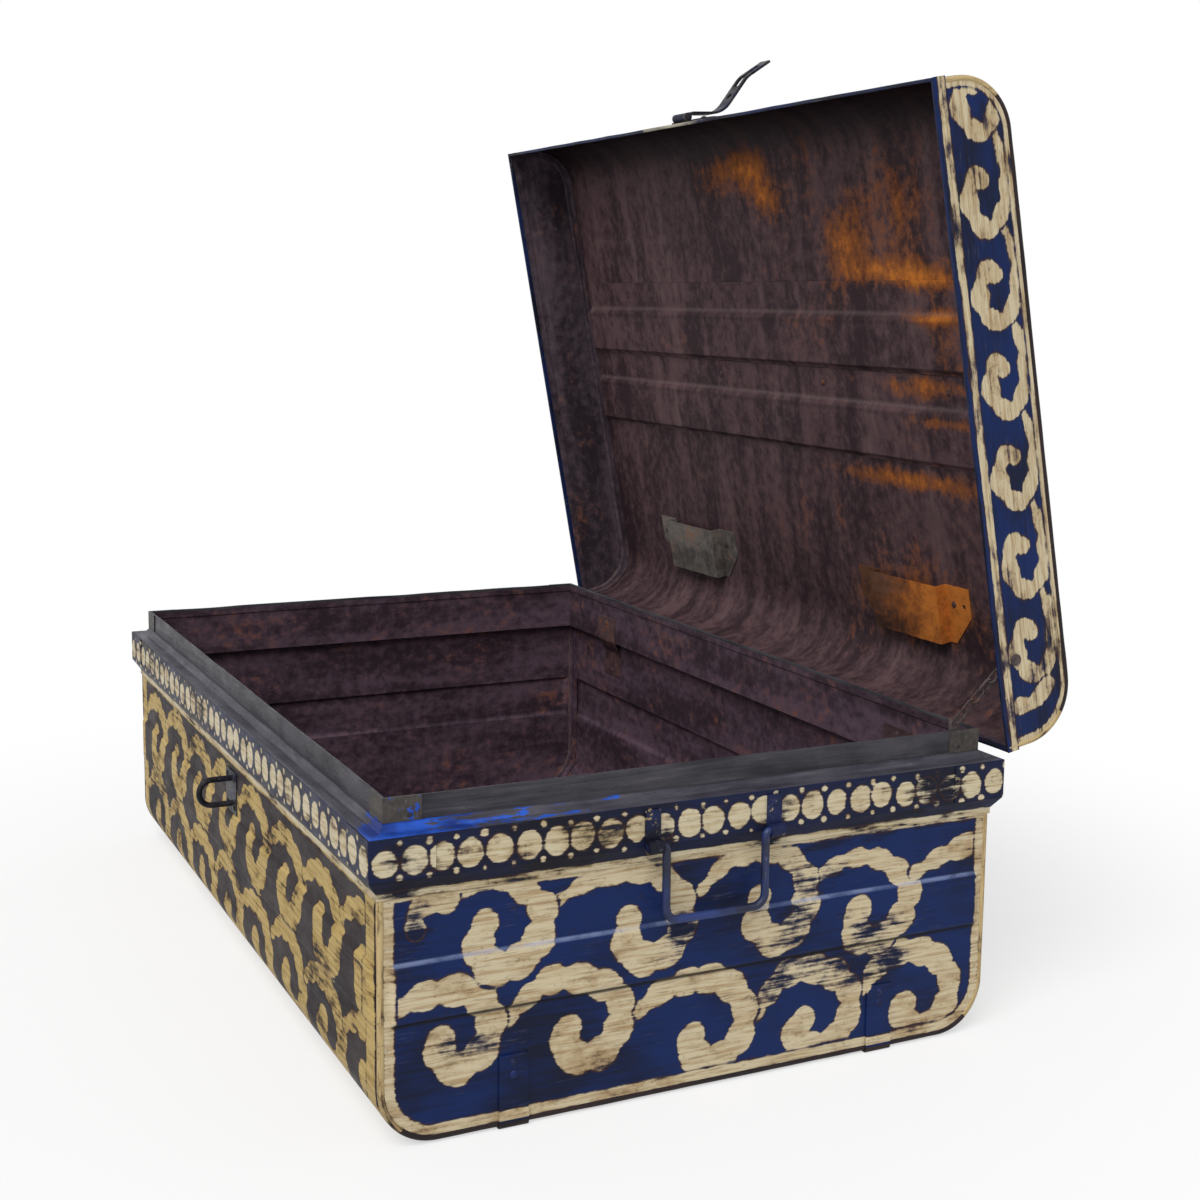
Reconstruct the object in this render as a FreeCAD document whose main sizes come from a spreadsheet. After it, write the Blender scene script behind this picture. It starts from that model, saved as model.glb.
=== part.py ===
import FreeCAD, Part
import math
import os
import re
import Sketcher

# A painted sheet-metal travelling trunk, standing open on its stay chain.
# X runs along the trunk, -Y is the front, +Z is up. The origin is the middle of the
# footprint, level with the underside of the two runner straps. Sizes are in millimetres.

V = FreeCAD.Vector
SIDES = {"left": -1, "right": 1}

# Driving sizes
SIZES = {
    # the belt is the boxed band round the mouth, on which the lid closes
    "belt_length": 854.0,
    "belt_width": 560.0,
    "belt_top": 240.0,
    "belt_height": 33.0,
    "belt_reach": 8.0,
    "lip_drop": 10.0,
    "lip_flange": 5.0,
    "sheet": 1.0,
    "strap_sheet": 1.5,
    "fit": 0.2,
    "seam": 0.1,
    # body
    "body_corner": 46.0,
    "bead_radius": 3.0,
    "bead_stand": 1.0,
    "flange_length": 14.0,
    "swage_bottom": 98.0,
    "swage_top": 140.0,
    "swage_reach": 3.0,
    "swage_margin": 9.0,
    # collar
    "collar_inset": 16.5,
    "collar_rise": 25.0,
    "collar_drop": 29.0,
    "hem_height": 10.0,
    "cove_run": 4.0,
    "cove_rise": 5.0,
    "gusset_leg": 30.0,
    "gusset_hole": 2.0,
    "gusset_hole_at": 20.0,
    "gusset_hole_up": 4.0,
    "cap_leg": 51.0,
    "cap_sheet": 0.8,
    # runner straps under the bottom
    "runner_from_side": 107.0,
    "runner_width": 24.0,
    "runner_height": 58.0,
    "runner_joggle": 8.0,
    "runner_bend": 3.5,
    # lid
    "lid_depth": 73.0,
    "lid_corner": 48.0,
    "lid_gap": 0.5,
    "lid_open": 79.5,
    "rim_sheet": 0.9,
    "rim_height": 12.0,
    "batten_from_front": 169.0,
    "batten_width": 85.0,
    "batten_flange": 30.0,
    "batten_depth": 6.0,
    "batten_slope": 5.0,
    "batten_end_room": 20.0,
    "bracket_from_hinge": 88.0,
    "bracket_from_bend": 1.0,
    "bracket_length": 56.0,
    "bracket_face": 104.0,
    "bracket_ear": 36.0,
    "bracket_toe": 10.0,
    "bracket_depth": 12.0,
    "bracket_square": 28.0,
    "bracket_hole": 2.4,
    "bracket_hole_out": 27.0,
    "bracket_rivet_out": 12.0,
    "bracket_rivet_up": 18.0,
    # hinges
    "hinge_from_end": 127.0,
    "hinge_width": 44.0,
    "hinge_leaf": 27.0,
    "knuckle_radius": 4.2,
    "knuckle_share": 15.0,
    "pin_radius": 2.0,
    "pin_overhang": 1.5,
    "running_fit": 0.05,
    "end_play": 0.3,
    "swing_gap": 0.3,
    "strap_foot": 168.0,
    "strap_joggle": 14.0,
    "strap_width": 40.0,
    # bail handles
    "bail_width": 88.0,
    "bail_drop": 60.0,
    "bail_wire": 3.3,
    "bail_bend": 10.0,
    "bail_pivot": 208.0,
    "lug_width": 13.0,
    "lug_wall": 1.8,
    "lug_height": 28.0,
    # hasp and staple
    "staple_middle": 164.0,
    "staple_half": 12.0,
    "staple_reach": 34.0,
    "staple_wire": 2.75,
    "staple_plate_width": 38.0,
    "staple_plate_height": 40.0,
    "hasp_pivot": 11.0,
    "hasp_plate_width": 62.0,
    "hasp_wrap": 30.0,
    "hasp_tail": 9.0,
    "hasp_knuckle": 11.4,
    "hasp_side_knuckle": 7.0,
    "hasp_width": 18.0,
    "hasp_sheet": 2.5,
    "hasp_length": 113.0,
    "hasp_bow": 17.0,
    "hasp_bow_at": 39.0,
    "hasp_back_at": 82.0,
    "hasp_bend": 26.0,
    "hasp_tab": 9.0,
    "hasp_slot": 34.0,
    "hasp_slot_width": 9.0,
    "hasp_hole_at": 58.0,
    "hasp_hole": 3.5,
    "hasp_fold": 158.0,
    # stay chain
    "stay_from_back": 39.0,
    "stay_lug_width": 10.0,
    "stay_lug_rise": 10.0,
    "stay_lug_drop": 24.0,
    "stay_hole": 3.0,
    "eye_from_back": 78.0,
    "eye_height": 19.0,
    "eye_ring": 4.2,
    "eye_stand": 6.5,
    "eye_shank": 2.4,
    "eye_head": 5.0,
    "eye_head_height": 1.5,
    "link_wire": 1.0,
    "link_half_width": 4.6,
    "link_play": 0.3,
    # rivets
    "rivet_radius": 3.2,
    "rivet_height": 1.5,
    "rivet_edge": 6.4,
    "rivet_pitch": 9.6,
}
LINK_COUNT = 6
BATTEN_RIVETS = 4

# Sizes that follow from the driving ones
FOLLOWS = {
    "half_length": "belt_length / 2",
    "half_width": "belt_width / 2",
    "belt_foot": "belt_top - belt_height",
    "lip_foot": "belt_foot - lip_drop - lip_flange",
    "wall_length": "half_length - belt_reach",
    "wall_width": "half_width - belt_reach",
    "wall_foot": "strap_sheet",
    "wall_top": "belt_top - sheet - fit",
    "collar_top": "belt_top + collar_rise",
    "collar_inner": "collar_inset + sheet",
    "lid_wall": "rim_sheet + seam",
    "lid_length": "half_length - lid_wall",
    "lid_width": "half_width - lid_wall",
    "lid_top": "belt_top + lid_depth",
    "lid_foot": "belt_top + lid_gap",
    "crown_under": "lid_top - sheet",
    "runner_spread": "wall_width - runner_from_side",
    "batten_front": "batten_from_front - lid_width",
    "bracket_spread": "hinge_spread - bracket_from_hinge",
    "bracket_front": "lid_width - lid_corner - bracket_length - bracket_from_bend",
    "hinge_spread": "half_length - hinge_from_end",
    "hinge_back": "half_width + knuckle_radius + swing_gap",
    "bail_out": "bail_wire + running_fit + lug_wall",
    "hasp_out": "knuckle_radius + swing_gap",
    "hasp_axle": "belt_top + hasp_pivot",
    "bore_radius": "pin_radius + running_fit",
    "rivet_ball": "(rivet_radius * rivet_radius + rivet_height * rivet_height) / (2 * rivet_height)",
}

doc = FreeCAD.newDocument("trunk")
sheet = doc.addObject("Spreadsheet::Sheet", "Sizes")
for row, (alias, amount) in enumerate(SIZES.items(), start=1):
    sheet.set("A%d" % row, str(amount))
    sheet.setAlias("A%d" % row, alias)
doc.recompute()
nodes = []


# Reading and binding sizes

def bound(text):
    """The expression for the sheet that a line of plain size names stands for."""
    def cell(match):
        word = match.group(0)
        if word in FOLLOWS:
            return "(" + bound(FOLLOWS[word]) + ")"
        if word in SIZES:
            return "Sizes." + word
        return word
    return re.sub(r"[a-z][a-z_]*", cell, text)


def number(text):
    """The present value of a line of size names."""
    return float(sheet.evalExpression(bound(text)))


def bind(item, **amounts):
    """Ties properties of an object to the sheet."""
    for name, text in amounts.items():
        item.setExpression(name, bound(text))


# Sketches and features

def new_body(label):
    body = doc.addObject("PartDesign::Body", label)
    body.Label = label
    nodes.append(body)
    return body


def sketch_on(body, name, plane, offset="0"):
    """A sketch on one of the body's own planes, moved along the plane's normal."""
    sketch = body.newObject("Sketcher::SketchObject", name)
    support = [feature for feature in body.Origin.OriginFeatures if feature.Role == plane][0]
    sketch.AttachmentSupport = [(support, "")]
    sketch.MapMode = "FlatFace"
    sketch.setExpression("AttachmentOffset.Base.z", bound(offset))
    return sketch


def hold(sketch, kind, where, text):
    """A constraint whose value is tied to the sheet."""
    index = sketch.addConstraint(Sketcher.Constraint(kind, *where, number(text)))
    sketch.setExpression("Constraints[%d]" % index, bound(text))


def hold_point(sketch, geometry, end, across, up):
    hold(sketch, "DistanceX", (-1, 1, geometry, end), across)
    hold(sketch, "DistanceY", (-1, 1, geometry, end), up)


def draw(sketch, corners, closed=True):
    """Straight runs through corners, each (across, up) or (across, up, bend radius)."""
    points = [V(number(corner[0]), number(corner[1]), 0) for corner in corners]
    count = len(corners)
    entries = list(points)
    exits = list(points)
    arcs = {}
    for index, corner in enumerate(corners):
        if len(corner) == 2:
            continue
        radius = number(corner[2])
        before = (points[index] - points[index - 1]).normalize()
        after = (points[(index + 1) % count] - points[index]).normalize()
        turn = before.getAngle(after)
        reach = radius * math.tan(turn / 2)
        entries[index] = points[index] - before * reach
        exits[index] = points[index] + after * reach
        leftward = before.cross(after).z > 0
        inward = V(-before.y, before.x, 0) * (1 if leftward else -1)
        centre = entries[index] + inward * radius
        ends = (entries[index], exits[index]) if leftward else (exits[index], entries[index])
        circle = Part.Circle(centre, V(0, 0, 1), radius)
        arc = Part.ArcOfCircle(circle, circle.parameter(ends[0]), circle.parameter(ends[1]))
        arcs[index] = (sketch.addGeometry(arc), 1 if leftward else 2, 2 if leftward else 1)
    runs = count if closed else count - 1
    lines = []
    for index in range(runs):
        line = Part.LineSegment(exits[index], entries[(index + 1) % count])
        lines.append(sketch.addGeometry(line))
    for index, corner in enumerate(corners):
        arriving = lines[index - 1] if closed or index > 0 else None
        leaving = lines[index] if index < runs else None
        if index in arcs:
            arc, arc_in, arc_out = arcs[index]
            mark = sketch.addGeometry(Part.Point(points[index]), True)
            sketch.addConstraint(Sketcher.Constraint("Tangent", arriving, 2, arc, arc_in))
            sketch.addConstraint(Sketcher.Constraint("Tangent", arc, arc_out, leaving, 1))
            sketch.addConstraint(Sketcher.Constraint("PointOnObject", mark, 1, arriving))
            sketch.addConstraint(Sketcher.Constraint("PointOnObject", mark, 1, leaving))
            hold(sketch, "Radius", (arc,), corner[2])
            hold_point(sketch, mark, 1, corner[0], corner[1])
            continue
        if arriving is not None and leaving is not None:
            sketch.addConstraint(Sketcher.Constraint("Coincident", arriving, 2, leaving, 1))
        if leaving is not None:
            hold_point(sketch, leaving, 1, corner[0], corner[1])
        else:
            hold_point(sketch, arriving, 2, corner[0], corner[1])
    return sketch


def circle(sketch, across, up, radius):
    ring = Part.Circle(V(number(across), number(up), 0), V(0, 0, 1), number(radius))
    geometry = sketch.addGeometry(ring)
    hold_point(sketch, geometry, 3, across, up)
    hold(sketch, "Radius", (geometry,), radius)
    return sketch


def rectangle(sketch, left, right, low, high):
    return draw(sketch, [(left, low), (right, low), (right, high), (left, high)])


def pad(body, sketch, length, both_ways=False, backwards=False, taper=0):
    feature = body.newObject("PartDesign::Pad", sketch.Name + "_pad")
    feature.Profile = sketch
    feature.SideType = "Symmetric" if both_ways else "One side"
    feature.Reversed = backwards
    feature.TaperAngle = taper
    bind(feature, Length=length)
    return feature


def pocket(body, sketch, length, both_ways=False, backwards=False, taper=0):
    """A cut, with a test that it does remove metal."""
    doc.recompute()
    before = body.Shape.Volume
    feature = body.newObject("PartDesign::Pocket", sketch.Name + "_cut")
    feature.Profile = sketch
    feature.SideType = "Symmetric" if both_ways else "One side"
    feature.Reversed = backwards
    feature.TaperAngle = taper
    bind(feature, Length=length)
    doc.recompute()
    if not body.Shape.Volume < before:
        raise RuntimeError("%s cuts nothing" % feature.Name)
    return feature


def pipe(body, section, path, runs, mitred=False):
    feature = body.newObject("PartDesign::AdditivePipe", section.Name + "_pipe")
    feature.Profile = section
    feature.Spine = (path, ["Edge%d" % (index + 1) for index in range(runs)])
    feature.Transition = "Right corner" if mitred else "Transformed"
    return feature


def turn_about_hinge():
    """The lid pieces are drawn closed and swung up about the hinge pins."""
    axle = V(0, number("hinge_back"), number("belt_top"))
    return FreeCAD.Placement(V(0, 0, 0), FreeCAD.Rotation(V(1, 0, 0), -number("lid_open")), axle)


lid_swing = turn_about_hinge()


# Body of the trunk: one sheet bent round front, bottom and back

def body_wrap():
    body = new_body("body_wrap")
    section = sketch_on(body, "body_wrap_section", "YZ_Plane")
    left_side = [
        ("-wall_width", "wall_top"),
        ("-wall_width", "swage_top + swage_reach"),
        ("-wall_width - swage_reach", "swage_top"),
        ("-wall_width - swage_reach", "swage_bottom"),
        ("-wall_width", "swage_bottom - swage_reach"),
        ("-wall_width", "wall_foot", "body_corner"),
    ]
    inside_left = [
        ("sheet - wall_width", "wall_foot + sheet", "body_corner - sheet"),
        ("sheet - wall_width", "swage_bottom - swage_reach + sheet / 2"),
        ("sheet - wall_width - swage_reach", "swage_bottom + sheet / 2"),
        ("sheet - wall_width - swage_reach", "swage_top - sheet / 2"),
        ("sheet - wall_width", "swage_top + swage_reach - sheet / 2"),
        ("sheet - wall_width", "wall_top"),
    ]
    right_side = [("-(%s)" % corner[0],) + corner[1:] for corner in reversed(left_side)]
    inside_right = [("-(%s)" % corner[0],) + corner[1:] for corner in reversed(inside_left)]
    draw(section, left_side + right_side + inside_right + inside_left)
    pad(body, section, "2 * (wall_length + bead_stand - 2 * bead_radius + fit)", both_ways=True)


def end_panel(label, side, face, width, foot, mouth, corner, bead_mouth, swaged):
    """An end wall: a plate with a rolled bead round three edges and a flange inside the wrap.

    The outline runs down one side, along the foot and up the other; on the lid the foot
    is the crown, so the same outline stands on its head.
    """
    body = new_body(label)
    upright = 1 if number(mouth) > number(foot) else -1
    step = "(%d)" % upright
    out = "(%d)" % side

    def trough(sketch, inset, mouth_at, closed=True):
        edge = "(%s - (%s))" % (width, inset)
        low = "(%s + %s * (%s))" % (foot, step, inset)
        bend = "%s - (%s)" % (corner, inset)
        corners = [("-" + edge, mouth_at), ("-" + edge, low, bend), (edge, low, bend), (edge, mouth_at)]
        return draw(sketch, corners, closed)

    plate = sketch_on(body, label + "_plate", "YZ_Plane", "%s * (%s - sheet)" % (out, face))
    trough(plate, "bead_radius", mouth)
    pad(body, plate, "sheet", backwards=side < 0)
    if swaged:
        raised = sketch_on(body, label + "_swage", "YZ_Plane", "%s * %s" % (out, face))
        edge = "(%s - swage_margin)" % width
        rectangle(raised, "-" + edge, edge, "swage_bottom - swage_reach", "swage_top + swage_reach")
        pad(body, raised, "swage_reach", backwards=side < 0, taper=-45)
        hollow = sketch_on(body, label + "_hollow", "YZ_Plane", "%s * (%s - sheet)" % (out, face))
        inner = "(%s - swage_margin - sheet / 2)" % width
        low = "swage_bottom - swage_reach + sheet / 2"
        high = "swage_top + swage_reach - sheet / 2"
        rectangle(hollow, "-" + inner, inner, low, high)
        pocket(body, hollow, "swage_reach", backwards=side > 0, taper=-45)
    bead_middle = "%s * (%s + bead_stand - bead_radius)" % (out, face)
    path = sketch_on(body, label + "_bead_path", "YZ_Plane", bead_middle)
    trough(path, "bead_radius", bead_mouth, closed=False)
    round_section = sketch_on(body, label + "_bead", "XY_Plane", bead_mouth)
    circle(round_section, bead_middle, "bead_radius - (%s)" % width, "bead_radius")
    pipe(body, round_section, path, 5)
    flange = sketch_on(body, label + "_flange", "YZ_Plane", bead_middle)
    trough_band(flange, width, foot, step, corner, bead_mouth)
    pad(body, flange, "flange_length", backwards=side > 0)
    return body


def trough_band(sketch, width, foot, step, corner, mouth_at):
    """A band of sheet thickness lying inside the wrap along three edges."""
    corners = []
    for inset, order in (("sheet + fit", 1), ("2 * sheet + fit", -1)):
        edge = "(%s - (%s))" % (width, inset)
        low = "(%s + %s * (%s))" % (foot, step, inset)
        bend = "%s - (%s)" % (corner, inset)
        band = [("-" + edge, mouth_at), ("-" + edge, low, bend), (edge, low, bend), (edge, mouth_at)]
        corners += band[::order]
    return draw(sketch, corners)


def mitred_ring(label, corners, height):
    """A formed strip that runs round the mouth of the trunk, mitred at its corners."""
    body = new_body(label)
    section = sketch_on(body, label + "_section", "YZ_Plane")
    draw(section, [("(%s) - half_width" % inset, level) for inset, level in corners])
    path = sketch_on(body, label + "_path", "XY_Plane", height)
    draw(path, [("0", "-half_width"), ("half_length", "-half_width"), ("half_length", "half_width"),
                ("-half_length", "half_width"), ("-half_length", "-half_width")])
    pipe(body, section, path, 5, mitred=True)
    return body


def mitred_strip(label, lengthwise, side, corners, height):
    """One straight formed strip of a frame round the mouth, mitred at both ends."""
    body = new_body(label)
    reach, wide, plane = ("half_length", "half_width", "YZ_Plane")
    if not lengthwise:
        reach, wide, plane = ("half_width", "half_length", "XZ_Plane")
    out = "(%d)" % side
    section = sketch_on(body, label + "_section", plane)
    draw(section, [("%s * (%s - (%s))" % (out, wide, inset), level) for inset, level in corners])
    pad(body, section, "2 * (%s - seam)" % reach, both_ways=True)
    for place, end in (("low", "(-1)"), ("high", "(1)")):
        mitre = sketch_on(body, "%s_mitre_%s" % (label, place), "XY_Plane", height)
        tip = "%s * (%s - seam)" % (end, reach)
        root = "%s * (%s - seam - 2 * collar_inset)" % (end, reach)
        outside = "%s * %s" % (out, wide)
        inside = "%s * (%s - 2 * collar_inset)" % (out, wide)
        triangle = [(tip, outside), (root, inside), (tip, inside)]
        if not lengthwise:
            triangle = [(across, along) for along, across in triangle]
        draw(mitre, triangle)
        pocket(body, mitre, "4 * belt_height", both_ways=True)
    return body


# The belt, the collar and the rim of the lid: formed strips round the mouth

def belt():
    """Four strips, whose mitred joints lie under the corner caps."""
    inner = "collar_inset"
    section = [
        (inner, "belt_top + cove_rise + sheet"),
        (inner + " - sheet", "belt_top + cove_rise + sheet"),
        (inner + " - sheet", "belt_top + cove_rise"),
        (inner + " - sheet - cove_run", "belt_top"),
        ("0", "belt_top"),
        ("0", "belt_foot"),
        ("belt_reach - sheet", "belt_foot - lip_drop"),
        ("belt_reach - sheet", "lip_foot"),
        ("belt_reach", "lip_foot"),
        ("belt_reach", "belt_foot - lip_drop + sheet / 2"),
        ("sheet", "belt_foot + sheet / 2"),
        ("sheet", "belt_top - sheet"),
        (inner + " - cove_run", "belt_top - sheet"),
        (inner, "belt_top + cove_rise - sheet / 2"),
    ]
    mitred_strip("belt_front", True, -1, section, "belt_top")
    mitred_strip("belt_back", True, 1, section, "belt_top")
    mitred_strip("belt_left", False, -1, section, "belt_top")
    mitred_strip("belt_right", False, 1, section, "belt_top")


def collar():
    mitred_ring("collar", [
        ("collar_inset", "belt_top - collar_drop"),
        ("collar_inner", "belt_top - collar_drop"),
        ("collar_inner", "collar_top - hem_height"),
        ("collar_inner + sheet", "collar_top - hem_height + sheet"),
        ("collar_inner + sheet", "collar_top"),
        ("collar_inset", "collar_top"),
    ], "belt_top")


def lid_rim():
    groove = "lid_wall + sheet + seam"
    body = mitred_ring("lid_rim", [
        ("0", "lid_foot"),
        (groove + " + rim_sheet", "lid_foot"),
        (groove + " + rim_sheet", "lid_foot + rim_height"),
        (groove, "lid_foot + rim_height"),
        (groove, "lid_foot + rim_sheet"),
        ("rim_sheet", "lid_foot + rim_sheet"),
        ("rim_sheet", "lid_foot + rim_height"),
        ("0", "lid_foot + rim_height"),
    ], "lid_foot")
    body.Placement = lid_swing


# The lid: one sheet bent over front, crown and back, and two end walls

def lid_wrap():
    body = new_body("lid_wrap")
    section = sketch_on(body, "lid_wrap_section", "YZ_Plane")
    mouth = "lid_foot + rim_sheet + fit"
    outside = [
        ("-lid_width", mouth),
        ("-lid_width", "lid_top", "lid_corner"),
        ("lid_width", "lid_top", "lid_corner"),
        ("lid_width", mouth),
    ]
    inside = [
        ("lid_width - sheet", mouth),
        ("lid_width - sheet", "crown_under", "lid_corner - sheet"),
        ("sheet - lid_width", "crown_under", "lid_corner - sheet"),
        ("sheet - lid_width", mouth),
    ]
    draw(section, outside + inside)
    pad(body, section, "2 * (lid_length + bead_stand - 2 * bead_radius + fit)", both_ways=True)
    body.Placement = lid_swing


def lid_end(name, side):
    body = end_panel("lid_end_" + name, side, "lid_length", "lid_width", "lid_top",
                     "lid_foot + rim_sheet + fit", "lid_corner", "lid_foot + rim_height + fit", False)
    hole = sketch_on(body, "lid_end_hole_" + name, "YZ_Plane", "(%d) * lid_length" % side)
    circle(hole, "half_width - eye_from_back", "belt_top + eye_height", "eye_shank + fit")
    pocket(body, hole, "2 * flange_length", both_ways=True)
    body.Placement = lid_swing


# Corner pieces: gussets round the collar and caps round the belt

def corner_angle(label, side, depth, inset, thickness, leg, low, high):
    """An angle plate lying outside a corner of the strip at the given inset."""
    body = new_body(label)
    plan = sketch_on(body, label + "_plan", "XY_Plane", low)
    out_x = "(half_length - (%s))" % inset
    out_y = "(half_width - (%s))" % inset
    along = "(%d) * " % side
    across = "(%d) * " % depth
    draw(plan, [
        (along + out_x, across + out_y),
        (along + "(%s - (%s))" % (out_x, leg), across + out_y),
        (along + "(%s - (%s))" % (out_x, leg), across + "(%s - (%s))" % (out_y, thickness)),
        (along + "(%s - (%s))" % (out_x, thickness), across + "(%s - (%s))" % (out_y, thickness)),
        (along + "(%s - (%s))" % (out_x, thickness), across + "(%s - (%s))" % (out_y, leg)),
        (along + out_x, across + "(%s - (%s))" % (out_y, leg)),
    ])
    pad(body, plan, "(%s) - (%s)" % (high, low))
    return body


def corners():
    for name, side in SIDES.items():
        for place, depth in (("front", -1), ("back", 1)):
            low = "belt_top + cove_rise + sheet + fit"
            gusset = corner_angle("collar_corner_%s_%s" % (place, name), side, depth,
                                  "collar_inset - sheet", "sheet", "gusset_leg",
                                  low, "collar_top - fit")
            hole = sketch_on(gusset, "gusset_hole_%s_%s" % (place, name), "YZ_Plane",
                             "(%d) * (half_length - collar_inset)" % side)
            circle(hole, "(%d) * (half_width - collar_inset - gusset_hole_at)" % depth,
                   low + " + gusset_hole_up", "gusset_hole")
            pocket(gusset, hole, "4 * sheet", both_ways=True)
            corner_angle("belt_corner_%s_%s" % (place, name), side, depth, "-cap_sheet",
                         "cap_sheet", "cap_leg", "belt_foot + sheet", "belt_top - sheet / 2")


# Runner straps: flat bars under the bottom, turned up and riveted on both ends

def runner(label, depth):
    body = new_body(label)
    side_view = sketch_on(body, label + "_side", "XZ_Plane", "(%d) * runner_spread" % -depth)
    bead_out = "wall_length + bead_stand + fit"
    outer_half = [
        (bead_out + " + strap_sheet", "0", "runner_bend"),
        (bead_out + " + strap_sheet", "wall_foot + runner_joggle"),
        ("wall_length + strap_sheet", "wall_foot + 2 * runner_joggle"),
        ("wall_length + strap_sheet", "runner_height"),
    ]
    inner_half = [
        ("wall_length", "runner_height"),
        ("wall_length", "wall_foot + 2 * runner_joggle - fit"),
        (bead_out, "wall_foot + runner_joggle - fit"),
        (bead_out, "strap_sheet", "runner_bend - strap_sheet"),
    ]
    near = outer_half + inner_half
    far = [("-(%s)" % corner[0],) + corner[1:] for corner in reversed(near)]
    draw(side_view, near + far)
    pad(body, side_view, "runner_width", both_ways=True)


# Hinges: two leaves and a pin each, with a strap inside the back wall

def knuckle(body, name, centre_y, centre_z, middle_x, length):
    """A rolled knuckle: a short round bar across the trunk, bored later."""
    ring = sketch_on(body, name, "YZ_Plane", middle_x)
    circle(ring, centre_y, centre_z, "knuckle_radius")
    return pad(body, ring, length, both_ways=True)


def bore(body, name, centre_y, centre_z, middle_x, length, radius="bore_radius"):
    hole = sketch_on(body, name, "YZ_Plane", middle_x)
    circle(hole, centre_y, centre_z, radius)
    return pocket(body, hole, length, both_ways=True)


def base_leaf(name, side):
    label = "hinge_base_leaf_" + name
    body = new_body(label)
    middle = "(%d) * hinge_spread" % side
    half = "(hinge_width / 2)"
    notch = "(hinge_width / 2 - knuckle_share + end_play)"
    step = "belt_top - knuckle_radius - 2 * fit"
    plan = sketch_on(body, label + "_plan", "XZ_Plane", "-half_width")
    draw(plan, [
        (middle + " - " + half, "belt_top - hinge_leaf"),
        (middle + " + " + half, "belt_top - hinge_leaf"),
        (middle + " + " + half, "belt_top"),
        (middle + " + " + notch, "belt_top"),
        (middle + " + " + notch, step),
        (middle + " - " + notch, step),
        (middle + " - " + notch, "belt_top"),
        (middle + " - " + half, "belt_top"),
    ])
    pad(body, plan, "strap_sheet", backwards=True)
    for number_of, shift in (("one", "+"), ("two", "-")):
        centre = "%s %s (hinge_width / 2 - knuckle_share / 2 + end_play / 2)" % (middle, shift)
        knuckle(body, label + "_knuckle_" + number_of, "hinge_back", "belt_top", centre,
                "knuckle_share - end_play")
    bore(body, label + "_bore", "hinge_back", "belt_top", middle, "2 * hinge_width")


def lid_leaf(name, side):
    label = "hinge_lid_leaf_" + name
    body = new_body(label)
    middle = "(%d) * hinge_spread" % side
    half = "(hinge_width / 2)"
    tongue = "(hinge_width / 2 - knuckle_share)"
    step = "belt_top + knuckle_radius + 2 * fit"
    plan = sketch_on(body, label + "_plan", "XZ_Plane", "-half_width")
    draw(plan, [
        (middle + " - " + half, "belt_top + hinge_leaf"),
        (middle + " - " + half, step),
        (middle + " - " + tongue, step),
        (middle + " - " + tongue, "belt_top"),
        (middle + " + " + tongue, "belt_top"),
        (middle + " + " + tongue, step),
        (middle + " + " + half, step),
        (middle + " + " + half, "belt_top + hinge_leaf"),
    ])
    pad(body, plan, "strap_sheet", backwards=True)
    knuckle(body, label + "_knuckle", "hinge_back", "belt_top", middle, "2 * " + tongue)
    bore(body, label + "_bore", "hinge_back", "belt_top", middle, "2 * hinge_width")
    body.Placement = lid_swing


def hinge_pin(name, side):
    body = new_body("hinge_pin_" + name)
    end = sketch_on(body, "hinge_pin_end_" + name, "YZ_Plane", "(%d) * hinge_spread" % side)
    circle(end, "hinge_back", "belt_top", "pin_radius")
    pad(body, end, "hinge_width + 2 * pin_overhang", both_ways=True)


def hinge_strap(name, side):
    """A backing strap: it lies on the collar, is joggled back and lies on the wall."""
    label = "hinge_strap_" + name
    body = new_body(label)
    side_view = sketch_on(body, label + "_side", "YZ_Plane", "(%d) * hinge_spread" % side)
    upper = "half_width - collar_inner"
    lower = "wall_width - sheet"
    bend_top = "belt_top - collar_drop - fit"
    bend_foot = bend_top + " - strap_joggle"
    draw(side_view, [
        (upper, "belt_top"),
        (upper, bend_top),
        (lower, bend_foot),
        (lower, "strap_foot"),
        (lower + " - strap_sheet", "strap_foot"),
        (lower + " - strap_sheet", bend_foot + " + strap_sheet / 2"),
        (upper + " - strap_sheet", bend_top + " + strap_sheet / 2"),
        (upper + " - strap_sheet", "belt_top"),
    ])
    pad(body, side_view, "strap_width", both_ways=True)


# Bail handles: a bent wire in two lugs on each end

def handle_lug(name, side, place, along):
    label = "handle_lug_%s_%s" % (name, place)
    body = new_body(label)
    plane = "(%d) * (bail_width / 2 + bail_wire + fit + lug_width / 2)" % -along
    out = "(%d) * " % side
    eye = "lug_wall + bail_wire + running_fit"
    roll = sketch_on(body, label + "_roll", "XZ_Plane", plane)
    circle(roll, out + "(half_length + bail_out)", "bail_pivot", eye)
    pad(body, roll, "lug_width", both_ways=True)
    plate = sketch_on(body, label + "_plate", "XZ_Plane", plane)
    inner = out + "(half_length + bail_out - (%s))" % eye
    rectangle(plate, inner, out + "(half_length + bail_out - (%s) + lug_wall)" % eye,
              "bail_pivot", "bail_pivot + lug_height")
    pad(body, plate, "lug_width", both_ways=True)
    hole = sketch_on(body, label + "_bore", "XZ_Plane", plane)
    circle(hole, out + "(half_length + bail_out)", "bail_pivot", "bail_wire + running_fit")
    pocket(body, hole, "2 * lug_width", both_ways=True)


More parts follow.
